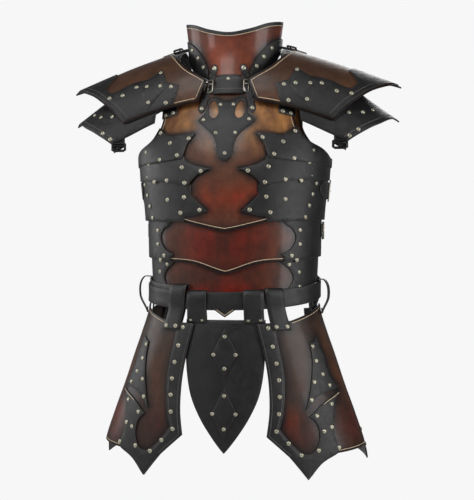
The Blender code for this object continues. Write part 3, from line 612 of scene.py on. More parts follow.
def plate(form, patterns, thickness, lift, grid=GRID, beside=()):
    """A piece cut to its outline, with holes for the patterns after the first, its edges rounded, bent.

    beside holds the patterns of what lies on the piece, whose outlines count as edges for its colour: the
    darkening round them is partly dye and partly painted shade.
    """
    lift = as_lift(lift)
    loops = []
    for k, points in enumerate(patterns):
        loop, _ = sampled(points, form.flat)
        wanted = 1.0 if k == 0 else -1.0
        loops.append(loop if turning(loop) == wanted else loop[::-1])
    rings = [inset(loop, ROUNDING) for loop in loops]
    flat = sheet_points(rings, grid)
    edges = []
    start = 0
    for ring in rings:
        count = len(ring)
        edges += [(start + k, start + (k + 1) % count) for k in range(count)]
        start += count
    made = delaunay_2d_cdt([Vector(p) for p in flat], edges, [], 0, 1e-7)
    flat = np.array([tuple(p) for p in made[0]])
    ring_index = {}
    for k, sources in enumerate(made[3]):
        for source in sources:
            ring_index[source] = k
    triangles = np.array(made[2])
    a, b, c = flat[triangles[:, 0]], flat[triangles[:, 1]], flat[triangles[:, 2]]
    area = (b[:, 0] - a[:, 0]) * (c[:, 1] - a[:, 1]) - (b[:, 1] - a[:, 1]) * (c[:, 0] - a[:, 0])
    triangles[area < 0] = triangles[area < 0][:, ::-1]
    triangles = triangles[inside((a + b + c) / 3, rings) & (np.abs(area) > 1e-12)]
    count = len(flat)
    faces = [tuple(t) for t in triangles.tolist()]
    faces += [tuple(k + count for k in t[::-1]) for t in triangles.tolist()]
    flats = [flat, flat]
    heights = [np.full(count, thickness), np.zeros(count)]
    corner = 1 - math.sqrt(0.5)
    profile = (
        (corner, thickness - corner * ROUNDING),
        (0.0, thickness - ROUNDING),
        (0.0, ROUNDING),
        (corner, corner * ROUNDING),
    )
    total = 2 * count
    first = 0
    for loop, ring in zip(loops, rings):
        length = len(loop)
        rows = [[ring_index[first + k] for k in range(length)]]
        for share, height in profile:
            flats.append(loop + (ring - loop) * share)
            heights.append(np.full(length, height))
            rows.append(list(range(total, total + length)))
            total += length
        rows.append([k + count for k in rows[0]])
        for upper, lower in zip(rows, rows[1:]):
            for k in range(length):
                after = (k + 1) % length
                faces.append((upper[k], lower[k], lower[after], upper[after]))
        first += length
    flat = np.vstack(flats)
    height = np.concatenate(heights)
    points = form.bent(flat, lambda u, v: height + lift(u, v))
    # The outlines of the pieces lying on this one count as edges too, so its colour darkens round them:
    # partly dye, partly painted shade.
    outline = np.vstack(loops + [sampled(other, form.flat)[0] for other in beside])
    tree = kdtree.KDTree(len(outline))
    for k, p in enumerate(form.bent(outline, lambda u, v: thickness / 2 + lift(u, v))):
        tree.insert(Vector(p), k)
    tree.balance()
    edge = np.array([tree.find(Vector(p))[2] for p in points])
    edge[2 * count:] = 0.0
    if form.outward < 0:
        faces = [face[::-1] for face in faces]
    return Shape(points, faces, np.clip(edge / EDGE_REACH, 0, 1))


def ribbon(form, path, lift, width=LINE_WIDTH):
    """A scored line: a narrow strip along a flat path, just proud of the surface at this lift."""
    lift = as_lift(lift)
    rows = []
    for side in (-width / 2, width / 2):
        rows.append(form.bent(inset(path, side, False), lambda u, v: lift(u, v) + LINE_RISE))
    count = len(path)
    faces = [(k, k + 1, count + k + 1, count + k) for k in range(count - 1)]
    if form.outward > 0:
        faces = [face[::-1] for face in faces]
    return Shape(np.vstack(rows), faces, np.ones(2 * count))


def line_beside(form, points, start, stop, distance, lift, width=LINE_WIDTH):
    """A scored line beside an outline, from one of its pattern points to another."""
    loop, marks = sampled(points, form.flat)
    end = marks[stop] + (len(loop) if marks[stop] <= marks[start] else 0)
    part = np.array([loop[k % len(loop)] for k in range(marks[start], end + 1)])
    moved = inset(part, distance * turning(loop), False)
    return ribbon(form, moved, lift, width)


def wrapped(rows, sides, closed=False):
    """The faces of a skin round rows of points, with its ends filled unless it closes on itself."""
    faces = []
    for k in range(rows if closed else rows - 1):
        after = (k + 1) % rows
        for j in range(sides):
            side = (j + 1) % sides
            faces.append((k * sides + j, k * sides + side, after * sides + side, after * sides + j))
    if not closed:
        faces.append(tuple(range(sides))[::-1])
        faces.append(tuple((rows - 1) * sides + j for j in range(sides)))
    return faces


def tube(path, radius, closed=False, sides=8):
    """A round bar along points in space."""
    path = np.array(path)
    along = np.roll(path, -1, 0) - np.roll(path, 1, 0)
    if not closed:
        along[0] = path[1] - path[0]
        along[-1] = path[-1] - path[-2]
    along = unit(along)
    first = np.cross(along[0], (0.3, 0.5, 0.8))
    rows = []
    for at, way in zip(path, along):
        first = unit(first - way * np.dot(first, way))
        second = np.cross(way, first)
        angle = np.arange(sides) * 2 * math.pi / sides
        rows.append(at + radius * (np.cos(angle)[:, None] * first + np.sin(angle)[:, None] * second))
    return Shape(np.vstack(rows), wrapped(len(path), sides, closed), np.ones(len(path) * sides))


def band(form, middle, path, width, thickness, lean=0.0):
    """A strap bent along a path of (v, out, round), centred at this u and leaning away from the front."""
    line, _ = sampled(path, (1.0, 1.0), 0.003, False)
    along = np.gradient(line, axis=0)
    normal = unit(np.stack([-along[:, 1], along[:, 0]], 1))
    half = width / 2
    across = np.linspace(-half + ROUNDING, half - ROUNDING, 6)
    rim = thickness / 2 - ROUNDING
    section = [(a, thickness / 2) for a in across] + [(half, rim), (half, -rim)]
    section += [(a, -thickness / 2) for a in across[::-1]] + [(-half, -rim), (-half, rim)]
    edge = [1.0 if abs(a) < half * 0.8 else 0.0 for a, _ in section]
    rows = []
    for (v, out), (side, up) in zip(line, normal):
        for a, b in section:
            shift = math.copysign(lean, middle) * (-BELT_DROP - v)
            rows.append((middle + (a + shift) / form.flat[0], v + side * b, out + up * b))
    rows = np.array(rows)
    points = form.place(rows[:, 0], rows[:, 1], rows[:, 2])
    faces = wrapped(len(line), len(section))
    shape = Shape(points, faces, np.array(edge * len(line)))
    a, b, c = (points[[face[k] for face in faces]] for k in range(3))
    if np.sum(np.cross(b - a, c - a) * (a + b + c - 3 * points.mean(0))) < 0:
        shape.faces = [face[::-1] for face in faces]
    return shape


# The camera of the picture
TURN = np.array((math.sin(VIEW_TURN), -math.cos(VIEW_TURN), 0.0))
RIGHTWARD = np.array((math.cos(VIEW_TURN), math.sin(VIEW_TURN), 0.0))
CAMERA_PLACE = TURN * VIEW_DISTANCE + RIGHTWARD * AXIS_SHIFT + np.array((0.0, 0.0, VIEW_HEIGHT))


def projected(points):
    """The pixels of the picture's view that these points fall on."""
    away = points - CAMERA_PLACE
    scale = LENS / SENSOR * VIEW_SIZE[1] / (away @ -TURN)
    return np.stack([
        VIEW_SIZE[0] / 2 + scale * (away @ RIGHTWARD),
        VIEW_SIZE[1] / 2 - scale * away[..., 2],
    ], -1)


def seen(form, pixels, u_range, v_range, lift):
    """The places on a form, at this lift, that the picture's view shows at these pixels."""
    rounds, steps, narrowing, out_of_sight = 5, 21, 12, 1000
    found = []
    lift = as_lift(lift)
    for pixel in pixels:
        low = np.array((u_range[0], v_range[0]))
        high = np.array((u_range[1], v_range[1]))
        for _ in range(rounds):
            u, v = np.meshgrid(np.linspace(low[0], high[0], steps), np.linspace(low[1], high[1], steps))
            points = form.place(u, v, lift(u, v))
            above = form.place(u, v, lift(u, v) + 0.01)
            hidden = np.sum((above - points) * (CAMERA_PLACE - points), -1) < 0
            miss = np.linalg.norm(projected(points) - pixel, axis=-1) + out_of_sight * hidden
            best = np.unravel_index(np.argmin(miss), miss.shape)
            middle = np.array((u[best], v[best]))
            reach = (high - low) / narrowing
            low = np.maximum(middle - reach, (u_range[0], v_range[0]))
            high = np.minimum(middle + reach, (u_range[1], v_range[1]))
        found.append(tuple(middle))
    return found


# A rivet's half section: distance from its middle as a share of its radius, height as a share of its height,
# and how much it is worn bright; the dark in its dimple and at its foot is partly patina and partly painted
# shade
RIVET_ROWS = (
    (0.00, 0.42, 0.0),
    (0.13, 0.46, 0.1),
    (0.22, 0.86, 0.7),
    (0.34, 1.00, 1.0),
    (0.60, 0.90, 1.0),
    (0.82, 0.58, 0.9),
    (0.94, 0.24, 0.5),
    (1.00, 0.00, 0.0),
)
RIVET_SIDES = 16


def rivets(form, places, lift, size=1.0):
    """Domed rivets at these places of a form."""
    lift = as_lift(lift)
    shapes = []
    angle = np.arange(RIVET_SIDES) * 2 * math.pi / RIVET_SIDES
    for u, v in places:
        foot = form.place(u, v, lift(u, v))
        up = unit(form.place(u, v, lift(u, v) + 0.01) - foot)
        first = unit(np.cross(up, (0.0, 0.3, 1.0)))
        second = np.cross(up, first)
        ring = np.cos(angle)[:, None] * first + np.sin(angle)[:, None] * second
        rows = []
        for out, height, _ in RIVET_ROWS[1:]:
            rows.append(foot + up * height * RIVET_HEIGHT * size + ring * out * RIVET_RADIUS * size)
        rows.append([foot + up * RIVET_ROWS[0][1] * RIVET_HEIGHT * size])
        faces = []
        for k in range(len(RIVET_ROWS) - 2):
            for j in range(RIVET_SIDES):
                side = (j + 1) % RIVET_SIDES
                a = k * RIVET_SIDES
                faces.append((a + j, a + RIVET_SIDES + j, a + RIVET_SIDES + side, a + side))
        top = (len(RIVET_ROWS) - 1) * RIVET_SIDES
        faces += [(top, j, (j + 1) % RIVET_SIDES) for j in range(RIVET_SIDES)]
        # Worn bright on the dome; dark in the dimple and at the foot, partly patina and partly painted shade.
        bright = [row[2] for row in RIVET_ROWS[1:] for _ in range(RIVET_SIDES)] + [0.0]
        shapes.append(Shape(np.vstack(rows), faces, np.array(bright)))
    return all_joined(shapes)


def buckle(form, middle, way, width, length, bar, lift):
    """A buckle's rounded frame and its tongue, lying on a form, with its long side this flat way."""
    way = unit(np.array(way, float))
    middle = np.array(middle) * form.flat
    # Eight points round the frame, as shares of its half width and half length
    around = (
        (0.75, -1.0), (1.0, -0.8), (1.0, 0.8), (0.75, 1.0), (-0.75, 1.0), (-1.0, 0.8), (-1.0, -0.8),
        (-0.75, -1.0),
    )
    base = form.place(middle[0] / form.flat[0], middle[1] / form.flat[1], lift)
    up = form.place(middle[0] / form.flat[0], middle[1] / form.flat[1], lift + 0.01) - base
    up = unit(up)
    ahead = middle + way * 0.002
    along = form.place(ahead[0] / form.flat[0], ahead[1] / form.flat[1], lift) - base
    along = unit(along - up * np.dot(along, up))
    aside = np.cross(up, along)
    height = up * bar * 0.5

    def at(a, b, rise=0.0):
        return base + aside * a * width / 2 + along * b * length / 2 + height + up * rise

    outline = [at(a, b) for a, b in around]
    hinge = -0.35
    crossbar = tube([at(-1.0, hinge), at(1.0, hinge)], bar * 0.4, False, 6)
    tongue_path = [at(0, hinge, bar * 0.4), at(0, 0.3, bar * 0.7), at(0, 1.05, bar * 0.6)]
    return all_joined([tube(outline, bar / 2, True), crossbar, tube(tongue_path, bar * 0.34, False, 6)])


class Nodes:
    """A material's node tree, with a short way to add and join nodes."""

    def __init__(self, name):
        self.material = bpy.data.materials.new(name)
        self.material.use_nodes = True
        self.tree = self.material.node_tree
        self.shader = self.tree.nodes["Principled BSDF"]
        self.place = self.add("ShaderNodeTexCoord").outputs["Object"]

    def add(self, kind, **settings):
        node = self.tree.nodes.new(kind)
        for key, value in settings.items():
            setattr(node, key, value)
        return node

    def join(self, output, socket):
        self.tree.links.new(output, socket)

    def noise(self, scale, detail=3.0, roughness=0.55, distortion=0.0, place=None):
        node = self.add("ShaderNodeTexNoise")
        node.inputs["Scale"].default_value = scale
        node.inputs["Detail"].default_value = detail
        node.inputs["Roughness"].default_value = roughness
        node.inputs["Distortion"].default_value = distortion
        self.join(place or self.place, node.inputs["Vector"])
        return node.outputs["Fac"]

    def cells(self, scale):
        node = self.add("ShaderNodeTexVoronoi", feature="DISTANCE_TO_EDGE")
        node.inputs["Scale"].default_value = scale
        self.join(self.place, node.inputs["Vector"])
        return node.outputs["Distance"]

    def ramp(self, value, *stops):
        """A colour or grey for each stop of (position, colour)."""
        node = self.add("ShaderNodeValToRGB")
        ramp = node.color_ramp
        while len(ramp.elements) < len(stops):
            ramp.elements.new(0.5)
        for element, (position, colour) in zip(ramp.elements, stops):
            element.position = position
            grey = isinstance(colour, (int, float))
            element.color = (colour, colour, colour, 1) if grey else (*colour, 1)
        self.join(value, node.inputs["Fac"])
        return node.outputs["Color"]

    def mix(self, share, low, high, blend="MIX"):
        node = self.add("ShaderNodeMix", data_type="RGBA", blend_type=blend)
        for value, socket in ((share, node.inputs[0]), (low, node.inputs[6]), (high, node.inputs[7])):
            if isinstance(value, tuple):
                socket.default_value = (*value, 1)
            elif isinstance(value, float):
                socket.default_value = value
            else:
                self.join(value, socket)
        return node.outputs[2]

    def math(self, operation, a, b=0.5):
        node = self.add("ShaderNodeMath", operation=operation)
        for value, socket in ((a, node.inputs[0]), (b, node.inputs[1])):
            if isinstance(value, float):
                socket.default_value = value
            else:
                self.join(value, socket)
        return node.outputs[0]

    def attribute(self, name):
        return self.add("ShaderNodeAttribute", attribute_name=name).outputs["Fac"]

    def bump(self, height, strength, distance, under=None):
        node = self.add("ShaderNodeBump")
        node.inputs["Strength"].default_value = strength
        node.inputs["Distance"].default_value = distance
        self.join(height, node.inputs["Height"])
        if under is not None:
            self.join(under, node.inputs["Normal"])
        return node.outputs["Normal"]

    def finish(self, colour=None, roughness=None, normal=None):
        for value, name in ((colour, "Base Color"), (roughness, "Roughness"), (normal, "Normal")):
            if value is not None:
                self.join(value, self.shader.inputs[name])
        return self.material


def leather_relief(n, grain):
    """Leather's fine grain over soft unevenness."""
    soft = n.bump(n.noise(16.0, 2.0), 0.35, 0.004)
    pores = n.ramp(n.cells(1100.0), (0.0, 0.0), (0.18, 1.0))
    fine = n.bump(pores, grain, 0.00025, soft)
    return n.bump(n.noise(420.0, 4.0), grain, 0.0004, fine)


def brown_leather(name, bands, deep, dark=(0.006, 0.0035, 0.003), reach=0.45, flank=None, gloss=0.22):
    """Hand-dyed leather: rubbed bright away from the edges, and near black towards them; round the overlays
    that lie on it this dark is partly dye and partly painted shade.

    bands are the colours at heights in metres, from the lowest up: dye, and on the chest partly a painted
    highlight; deep is the darker dye over it, and flank is the dye away from the middle.
    """
    n = Nodes(name)
    low = bands[0][0]
    span = bands[-1][0] - low
    height = n.add("ShaderNodeSeparateXYZ")
    n.join(n.place, height.inputs[0])
    wander = n.math("MULTIPLY", n.math("SUBTRACT", n.noise(9.0, 3.0, 0.6)), 0.35 * span)
    level = n.math("ADD", height.outputs["Z"], wander)
    share = n.math("DIVIDE", n.math("SUBTRACT", level, low), span)
    colour = n.ramp(share, *((max(0.0, min(1.0, (z - low) / span)), c) for z, c in bands))
    if flank:
        reach_out = n.math("ADD", n.math("ABSOLUTE", height.outputs["X"]), n.math("MULTIPLY", wander, 0.5))
        colour = n.mix(n.ramp(reach_out, (0.045, 0.0), (0.105, 0.85)), colour, flank)
    streaks = n.add("ShaderNodeMapping")
    streaks.inputs["Scale"].default_value = (1.0, 1.0, 0.28)
    n.join(n.place, streaks.inputs["Vector"])
    brushed = n.noise(26.0, 4.0, 0.5, place=streaks.outputs[0])
    colour = n.mix(n.ramp(brushed, (0.42, 0.0), (0.66, 0.80)), colour, deep)
    patches = n.ramp(n.noise(8.5, 2.0, 0.5, 0.6), (0.42, 0.0), (0.64, 0.75))
    colour = n.mix(patches, colour, deep)
    smudge = n.ramp(n.noise(55.0, 5.0, 0.65), (0.35, 0.70), (0.65, 1.10))
    colour = n.mix(0.9, colour, smudge, "MULTIPLY")
    uneven = n.math("ADD", n.math("MULTIPLY", n.math("SUBTRACT", n.noise(14.0, 4.0, 0.6)), 1.6), 1.0)
    # Near black towards the edges: dye burst at the piece's own edges, and partly painted shade round the
    # overlays that lie on it.
    edge = n.math("MULTIPLY", n.attribute("edge"), uneven)
    dye_burst_and_painted_shade = n.ramp(edge, (0.10, 0.0), (0.08 + reach * 0.4, 0.6), (0.08 + reach, 1.0))
    colour = n.mix(dye_burst_and_painted_shade, dark, colour)
    n.shader.inputs["Coat Weight"].default_value = gloss
    n.shader.inputs["Coat Roughness"].default_value = 0.17
    n.shader.inputs["Specular IOR Level"].default_value = 0.20
    roughness = n.ramp(n.noise(60.0, 5.0, 0.7), (0.3, 0.34), (0.7, 0.48))
    return n.finish(colour, roughness, leather_relief(n, 0.22))


def black_leather(name, tone=1.0):
    """Black leather with a soft sheen, a little greyer where it is rubbed and at its cut edges."""
    n = Nodes(name)
    base = tuple(tone * c for c in (0.0048, 0.0046, 0.0050))
    rubbed = tuple(tone * c for c in (0.0130, 0.0125, 0.0125))
    patches = n.ramp(n.noise(30.0, 6.0, 0.7, 0.4), (0.42, 0.0), (0.75, 1.0))
    colour = n.mix(patches, base, rubbed)
    worn = n.ramp(n.attribute("edge"), (0.0, 0.7), (0.05, 0.0))
    colour = n.mix(worn, colour, (0.040, 0.030, 0.022))
    n.shader.inputs["Specular IOR Level"].default_value = 0.36
    roughness = n.ramp(n.noise(70.0, 5.0, 0.7), (0.3, 0.34), (0.7, 0.50))
    return n.finish(colour, roughness, leather_relief(n, 0.32))


def rivet_metal(name, colour):
    """Aged metal, dark in its dimple and round its foot: partly patina, partly painted shade."""
    n = Nodes(name)
    # Dark in the dimple and at the foot, where edge is low: partly patina, partly painted shade.
    worn = n.ramp(n.attribute("edge"), (0.0, (0.02, 0.016, 0.012)), (0.55, colour))
    stains = n.ramp(n.noise(260.0, 4.0, 0.7), (0.3, 0.62), (0.6, 1.0))
    n.shader.inputs["Metallic"].default_value = 1.0
    roughness = n.ramp(n.noise(420.0, 3.0), (0.3, 0.36), (0.7, 0.52))
    normal = n.bump(n.noise(500.0, 3.0), 0.12, 0.0003)
    return n.finish(n.mix(0.8, worn, stains, "MULTIPLY"), roughness, normal)


def scored(name, colour, shade):
    """A scored line: the tan lines are cut lines that show the leather's inside, the grey lines on black are
    partly that and partly a painted highlight where a groove catches the light, and the dark lines are
    painted shade in a groove.
    """
    n = Nodes(name)
    line_tone = n.ramp(n.noise(300.0, 5.0, 0.7), (0.3, shade), (0.7, colour))
    roughness = n.ramp(n.noise(500.0), (0.3, 0.65), (0.7, 0.85))
    return n.finish(line_tone, roughness, n.bump(n.noise(700.0), 0.3, 0.0003))


def add(name, shape, material, nodes=()):
    """Makes a piece that rides on the frame, in place of these nodes."""
    mesh = bpy.data.meshes.new(name)
    mesh.from_pydata(shape.points.tolist(), [], shape.faces)
    mesh.shade_smooth()
    edge = mesh.attributes.new("edge", "FLOAT", "POINT")
    edge.data.foreach_set("value", shape.edge.astype(np.float32))
    mesh.materials.append(material)
    piece = bpy.data.objects.new(name, mesh)
    bpy.context.scene.collection.objects.link(piece)
    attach(piece, "root")
    if nodes:
        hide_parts(*nodes)
    return piece


def add_pair(name, shape, material, slot=None):
    """Makes a piece at +X and its mirror image. With no slot they replace the nodes of their name."""
    for end, side in (("_R", shape), ("_L", shape.mirrored())):
        if slot:
            add(name + end, side, material, ())
        else:
            add(name + "_leather" + end, side, material, (name + end,))


TORSO = round_form(TORSO_ROWS, CHEST_HALF_WIDTH, CHEST_DEPTH, 0.0, TORSO_LENGTH, TORSO_SQUARENESS)
HIPS = round_form(HIP_ROWS, HEM_HALF_WIDTH, HEM_DEPTH, -BELT_DROP, SKIRT_LENGTH, HIP_SQUARENESS)
COLLAR = round_form(COLLAR_ROWS, COLLAR_HALF_WIDTH, COLLAR_DEPTH, 0.0, -COLLAR_HEIGHT, 2.0)
ARCH = shoulder_form(False)
LOWER_ARCH = shoulder_form(True)
THROAT = throat_form(TORSO, COLLAR)
STRAPS = strap_form(ARCH, TORSO)

# Dye colours at heights in metres, except that the chest's bright golden band from -0.10 to -0.05 is partly
# dye and partly a painted highlight where the upper chest turns up towards the light
CHEST = brown_leather("chest_brown", (
    (-0.28, (0.050, 0.028, 0.019)), (-0.255, (0.120, 0.026, 0.013)), (-0.22, (0.200, 0.024, 0.009)),
    (-0.18, (0.115, 0.036, 0.018)), (-0.14, (0.130, 0.048, 0.020)), (-0.10, (0.270, 0.120, 0.038)),
    (-0.05, (0.360, 0.165, 0.050)), (0.00, (0.085, 0.024, 0.011)),
), (0.070, 0.024, 0.012))
RED = brown_leather("lame_red", (
    (-0.42, (0.210, 0.007, 0.002)), (-0.37, (0.072, 0.014, 0.007)), (-0.30, (0.170, 0.010, 0.004)),
    (-0.24, (0.085, 0.022, 0.011)),
), (0.040, 0.013, 0.008), reach=0.4, flank=(0.095, 0.032, 0.015))
NECK = brown_leather("collar_brown", (
    (0.00, (0.170, 0.046, 0.015)), (0.07, (0.200, 0.036, 0.012)), (0.13, (0.120, 0.026, 0.012)),
), (0.085, 0.022, 0.010), reach=0.5)
THIGH = brown_leather("thigh_brown", (
    (-0.78, (0.020, 0.013, 0.009)), (-0.73, (0.040, 0.014, 0.008)), (-0.67, (0.090, 0.013, 0.006)),
    (-0.60, (0.110, 0.034, 0.010)), (-0.45, (0.036, 0.021, 0.012)),
), (0.024, 0.012, 0.008), reach=0.6, gloss=0.10)
SHOULDER = brown_leather("shoulder_brown", (
    (-0.06, (0.120, 0.044, 0.018)), (0.02, (0.072, 0.032, 0.016)), (0.09, (0.044, 0.023, 0.013)),
), (0.046, 0.022, 0.013), reach=0.3, gloss=0.08)
BLACK = black_leather("overlay_black")
BLACK_STRAP = black_leather("strap_black", 1.15)
BRASS = rivet_metal("rivet_brass", (0.40, 0.38, 0.29))
BRIGHT = rivet_metal("rivet_bright", (0.56, 0.54, 0.44))
STEEL = rivet_metal("buckle_steel", (0.42, 0.39, 0.31))
IRON = rivet_metal("blackened_iron", (0.030, 0.029, 0.030))
TAN = scored("tan_line", (0.56, 0.45, 0.31), (0.36, 0.27, 0.17))
# Grey lines on black: partly the cut showing paler leather, partly a painted highlight where a groove catches
# the light.
HIGHLIT_SCORED_LINE = scored("scored_line_painted_highlight", (0.085, 0.080, 0.078), (0.035, 0.032, 0.031))
# Dark lines: painted shade, standing in for the shade inside a groove.
GROOVE = scored("groove_painted_shade", (0.016, 0.012, 0.010), (0.004, 0.003, 0.003))

# The corners of the small flap on a pauldron's cap, at the right, in pixels of the picture's view
DIAMOND_PIXELS = (
    (296.8, 66.7), (293.0, 78.3), (290.4, 85.7), (308.6, 108.2), (315.3, 87.8), (311.5, 78.3),
)

# Rivets of the right half of the picture, in pixels of its view, grouped by the piece that they are in
RIVET_PIXELS = {
    "upper_flap": ((262.6, 137), (283.3, 141.2), (295.5, 130.6), (274.2, 153.7), (294.5, 158)),
    "middle_flap": ((247.9, 170.4), (268.5, 166.2), (265, 182), (285.6, 179.2), (301.4, 180.5)),
    "lower_flap": ((266.3, 196.6), (285.6, 199), (249.6, 209.6), (270.4, 212.3)),
    "side_column": (
        (313.6, 150), (309.5, 162), (311.5, 176.2), (316.6, 183.2), (312.9, 194), (309.5, 205.3),
        (305.8, 217),
    ),
    "throat": ((233.4, 104), (249, 118.7), (235, 132.3)),
    "wing": ((272, 48), (264, 56.5), (257, 66)),
    "cap": (
        (351.4, 92.9), (336.7, 90.6), (321.8, 82.7), (310.3, 82.7), (297.2, 69.3), (295.5, 82.7),
        (283.8, 83.9), (288.5, 100), (307, 99),
    ),
    "lower_shoulder": ((349, 112), (363, 112), (373, 109.7), (358.5, 129), (349.5, 135.5)),
    "upper_lame": ((300.3, 230), (300.3, 244), (292, 255.5), (297, 260)),
    "lower_lame": ((289.4, 264.3), (299.3, 272), (300, 286.7)),
    "tab": ((279.5, 109.5), (289, 110)),
    "border": (
        (268.3, 328), (278, 325.5), (287, 322), (272.8, 346.6), (276.6, 363.6), (279, 380.3),
        (279.8, 397), (279, 414.2), (276.6, 431.6), (288.7, 443.5), (301.5, 455.3), (319, 450.5),
        (339.4, 447.4), (332, 403.7), (317.3, 415.8), (324.5, 431.2), (332, 427),
    ),
    "dagger": ((313, 346.3), (316.5, 360.8), (323, 374), (330, 385), (314.6, 382), (311.8, 400)),
    "diamonds": ((235.5, 355), (235.5, 414.5)),
}


def riveted(name, group, form, u_range, v_range, lift, slot, material=BRASS, size=1.0):
    """The rivets of a group, on both sides."""
    places = seen(form, RIVET_PIXELS[group], u_range, v_range, lift)
    add_pair(name, rivets(form, places, lift, size), material, slot)


def between_lifts(top, at_top, bottom, at_bottom):
    """A lift that changes evenly with height between two levels."""
    return lambda u, v: at_top + (at_bottom - at_top) * (top - v) / (top - bottom)


def raised(lift, by):
    return lambda u, v: as_lift(lift)(u, v) + by


def side_strap(name, lift):
    """A strap that closes the body at the side, with its buckle and its rivets, on both sides."""
    table, place, down, size, rivet_places = SIDE_STRAPS[name]
    node = "side_strap_" + name
    add_pair(node, plate(TORSO, [torso_pattern(table)], STRAP, lift), BLACK_STRAP)
    over = lift + STRAP
    level = -down * TORSO_LENGTH
    shape = buckle(TORSO, (place, level), (1, 0), *size, over)
    add_pair("side_buckle_" + name, shape, STEEL, "gorget_buckle")
    add_pair(node + "_rivets", rivets(TORSO, [(u, level) for u in rivet_places], over), BRASS, node)


def make_torso():
    """Breastplate, backplate, the black chest flaps and the throat ornament."""
    front = torso_pattern(BREASTPLATE, True)
    ornament = torso_pattern(THROAT_ORNAMENT, True)
    over = [torso_pattern(table) for table in (FLAP_UPPER, FLAP_MIDDLE, FLAP_LOWER)]
    over += [other_side(points) for points in over]
    over.append(ornament)
    add("breastplate_leather", plate(TORSO, [front], PLATE, 0.0, GRID, over), CHEST, ("breastplate",))
    back = torso_pattern(BACKPLATE, True)
    add("backplate_leather", plate(TORSO, [back], PLATE, OVERLAY + GAP), CHEST, ("backplate",))
    stretches = ((10, 12), (3, 5), (17, 19))
    lines = [line_beside(TORSO, front, *ends, LINE_INSET, PLATE) for ends in stretches]
    add("breastplate_lines", all_joined(lines), TAN, ())
    down = -TORSO_LENGTH
    lapped = ON_OVERLAY + GAP
    upper_top, middle_top, lower_top = (down * share for share in FLAP_LEVELS)
    flaps = (
        ("upper", FLAP_UPPER, between_lifts(upper_top, ON_PLATE, middle_top, lapped)),
        ("middle", FLAP_MIDDLE, between_lifts(middle_top, ON_PLATE, lower_top, lapped)),
        ("lower", FLAP_LOWER, ON_PLATE),
    )
    for name, table, lift in flaps:
        node = "chest_flap_" + name
        add_pair(node, plate(TORSO, [torso_pattern(table)], OVERLAY, lift), BLACK)
        riveted(node + "_rivets", name + "_flap", TORSO, (0, 1), (down, 0), raised(lift, OVERLAY), node)
    over = raised(ON_PLATE, OVERLAY + 2 * GAP)
    riveted("side_rivets", "side_column", TORSO, (0.3, 1), (down, 0), over, "chest_flap_lower")
    hole = torso_pattern(THROAT_HOLE)
    pierced = plate(TORSO, [ornament, hole, other_side(hole)], OVERLAY, ON_PLATE, FINE_GRID)
    add("throat_ornament_leather", pierced, BLACK, ("throat_ornament",))
    top = ON_PLATE + OVERLAY
    places = seen(TORSO, RIVET_PIXELS["throat"], (0, 0.5), (-0.2, 0), top)
    both = places + [(-u, v) for u, v in places] + [(0.0, -THROAT_LOWEST_RIVET * TORSO_LENGTH)]
    add("throat_rivets", rivets(TORSO, both, top, THROAT_RIVET), BRASS, ())
    side_strap("upper", ON_OVERLAY)


def make_lames():
    """The belly plates with their black sides, and the plain plates behind."""
    tucked = -(PLATE + OVERLAY + 2 * GAP)
    tables = (
        ("upper", LAME_UPPER, LAME_UPPER_SIDE, BACK_LAME_UPPER, tucked),
        ("lower", LAME_LOWER, LAME_LOWER_SIDE, BACK_LAME_LOWER, 2 * tucked),
    )
    for name, front, side, back, lift in tables:
        over = torso_pattern(side)
        shape = plate(TORSO, [torso_pattern(front, True)], PLATE, lift, GRID, [over, other_side(over)])
        add("lame_" + name + "_leather", shape, RED, ("lame_" + name,))
        node = "lame_side_" + name
        add_pair(node, plate(TORSO, [over], OVERLAY, lift + ON_PLATE), BLACK)
        behind = plate(TORSO, [torso_pattern(back, True)], PLATE, lift)
        add("back_lame_" + name + "_leather", behind, RED, ("back_lame_" + name,))
        top = lift + ON_PLATE + OVERLAY
        riveted(node + "_rivets", name + "_lame", TORSO, (0, 1), (-TORSO_LENGTH, 0), top, node)
    line = line_beside(TORSO, torso_pattern(LAME_UPPER, True), 3, 7, LINE_INSET, tucked + PLATE)
    add("lame_line", line, TAN, ())
    side_strap("lower", tucked + ON_OVERLAY)


def belt_middle(u):
    """The height of the belt's middle line, which hangs lower at the front than at the back."""
    rise = BELT_RISE * (u - BELT_START) / 4
    return -BELT_DROP - BELT_SAG * (0.25 - 1 + math.cos(u * math.pi / 2)) + rise


def belt_lift(u, v=None):
    """How far out the belt's inner side lies: it winds inward, so that its end is tucked under."""
    return (PLATE + GAP) * (1 - (u - BELT_START) / 4)


def belt_outline():
    """The belt's flat outline, pointed at the front and rising a little as it goes round."""
    turns = np.linspace(BELT_START, BELT_END, 63)
    half = BELT_WIDTH / 2
    top = [(u, belt_middle(u) + half, False) for u in turns]
    bottom = [(u, belt_middle(u) - half, False) for u in turns if abs(u) > BELT_POINT_HALF * 1.1]
    point = [(u, belt_middle(u) - half, False) for u in (-BELT_POINT_HALF, BELT_POINT_HALF)]
    point.append((0.0, belt_middle(0) - half - BELT_POINT, False))
    return top + sorted(bottom + point, reverse=True)


def belt_at(u):
    """The belt's top edge, lower edge, inner side and outer side at this place."""
    turns = [u + 4 * k for k in (0, 1) if u + 4 * k <= BELT_END]
    half = BELT_WIDTH / 2
    return belt_middle(turns[-1]) + half, belt_middle(u) - half, belt_lift(turns[-1]), belt_lift(u) + PLATE


def loop_path(belt, plate_top, foot, front, rear, bulge):
    """The side view of a loop round the belt, as height, distance out and roundness of its middle line."""
    top, under, inner, outer = belt
    top += 2 * GAP
    under -= 2 * GAP
    inner -= GAP
    outer += GAP
    half = STRAP / 2
    middle = (top + foot) / 2 if bulge else under
    return [
        (foot, front + half, False),
        (middle, outer + half + bulge, True),
        (top, outer + half + bulge / 2, True),
        (top + half, (inner + outer) / 2, True),
        (top, inner - half, True),
        (under, inner - half, True),
        (plate_top + 3 * GAP, rear - half, True),
        (foot, rear - half, False),
    ]


def hip_place(across, below):
    return hip_pattern(((across, below),))[0][0]


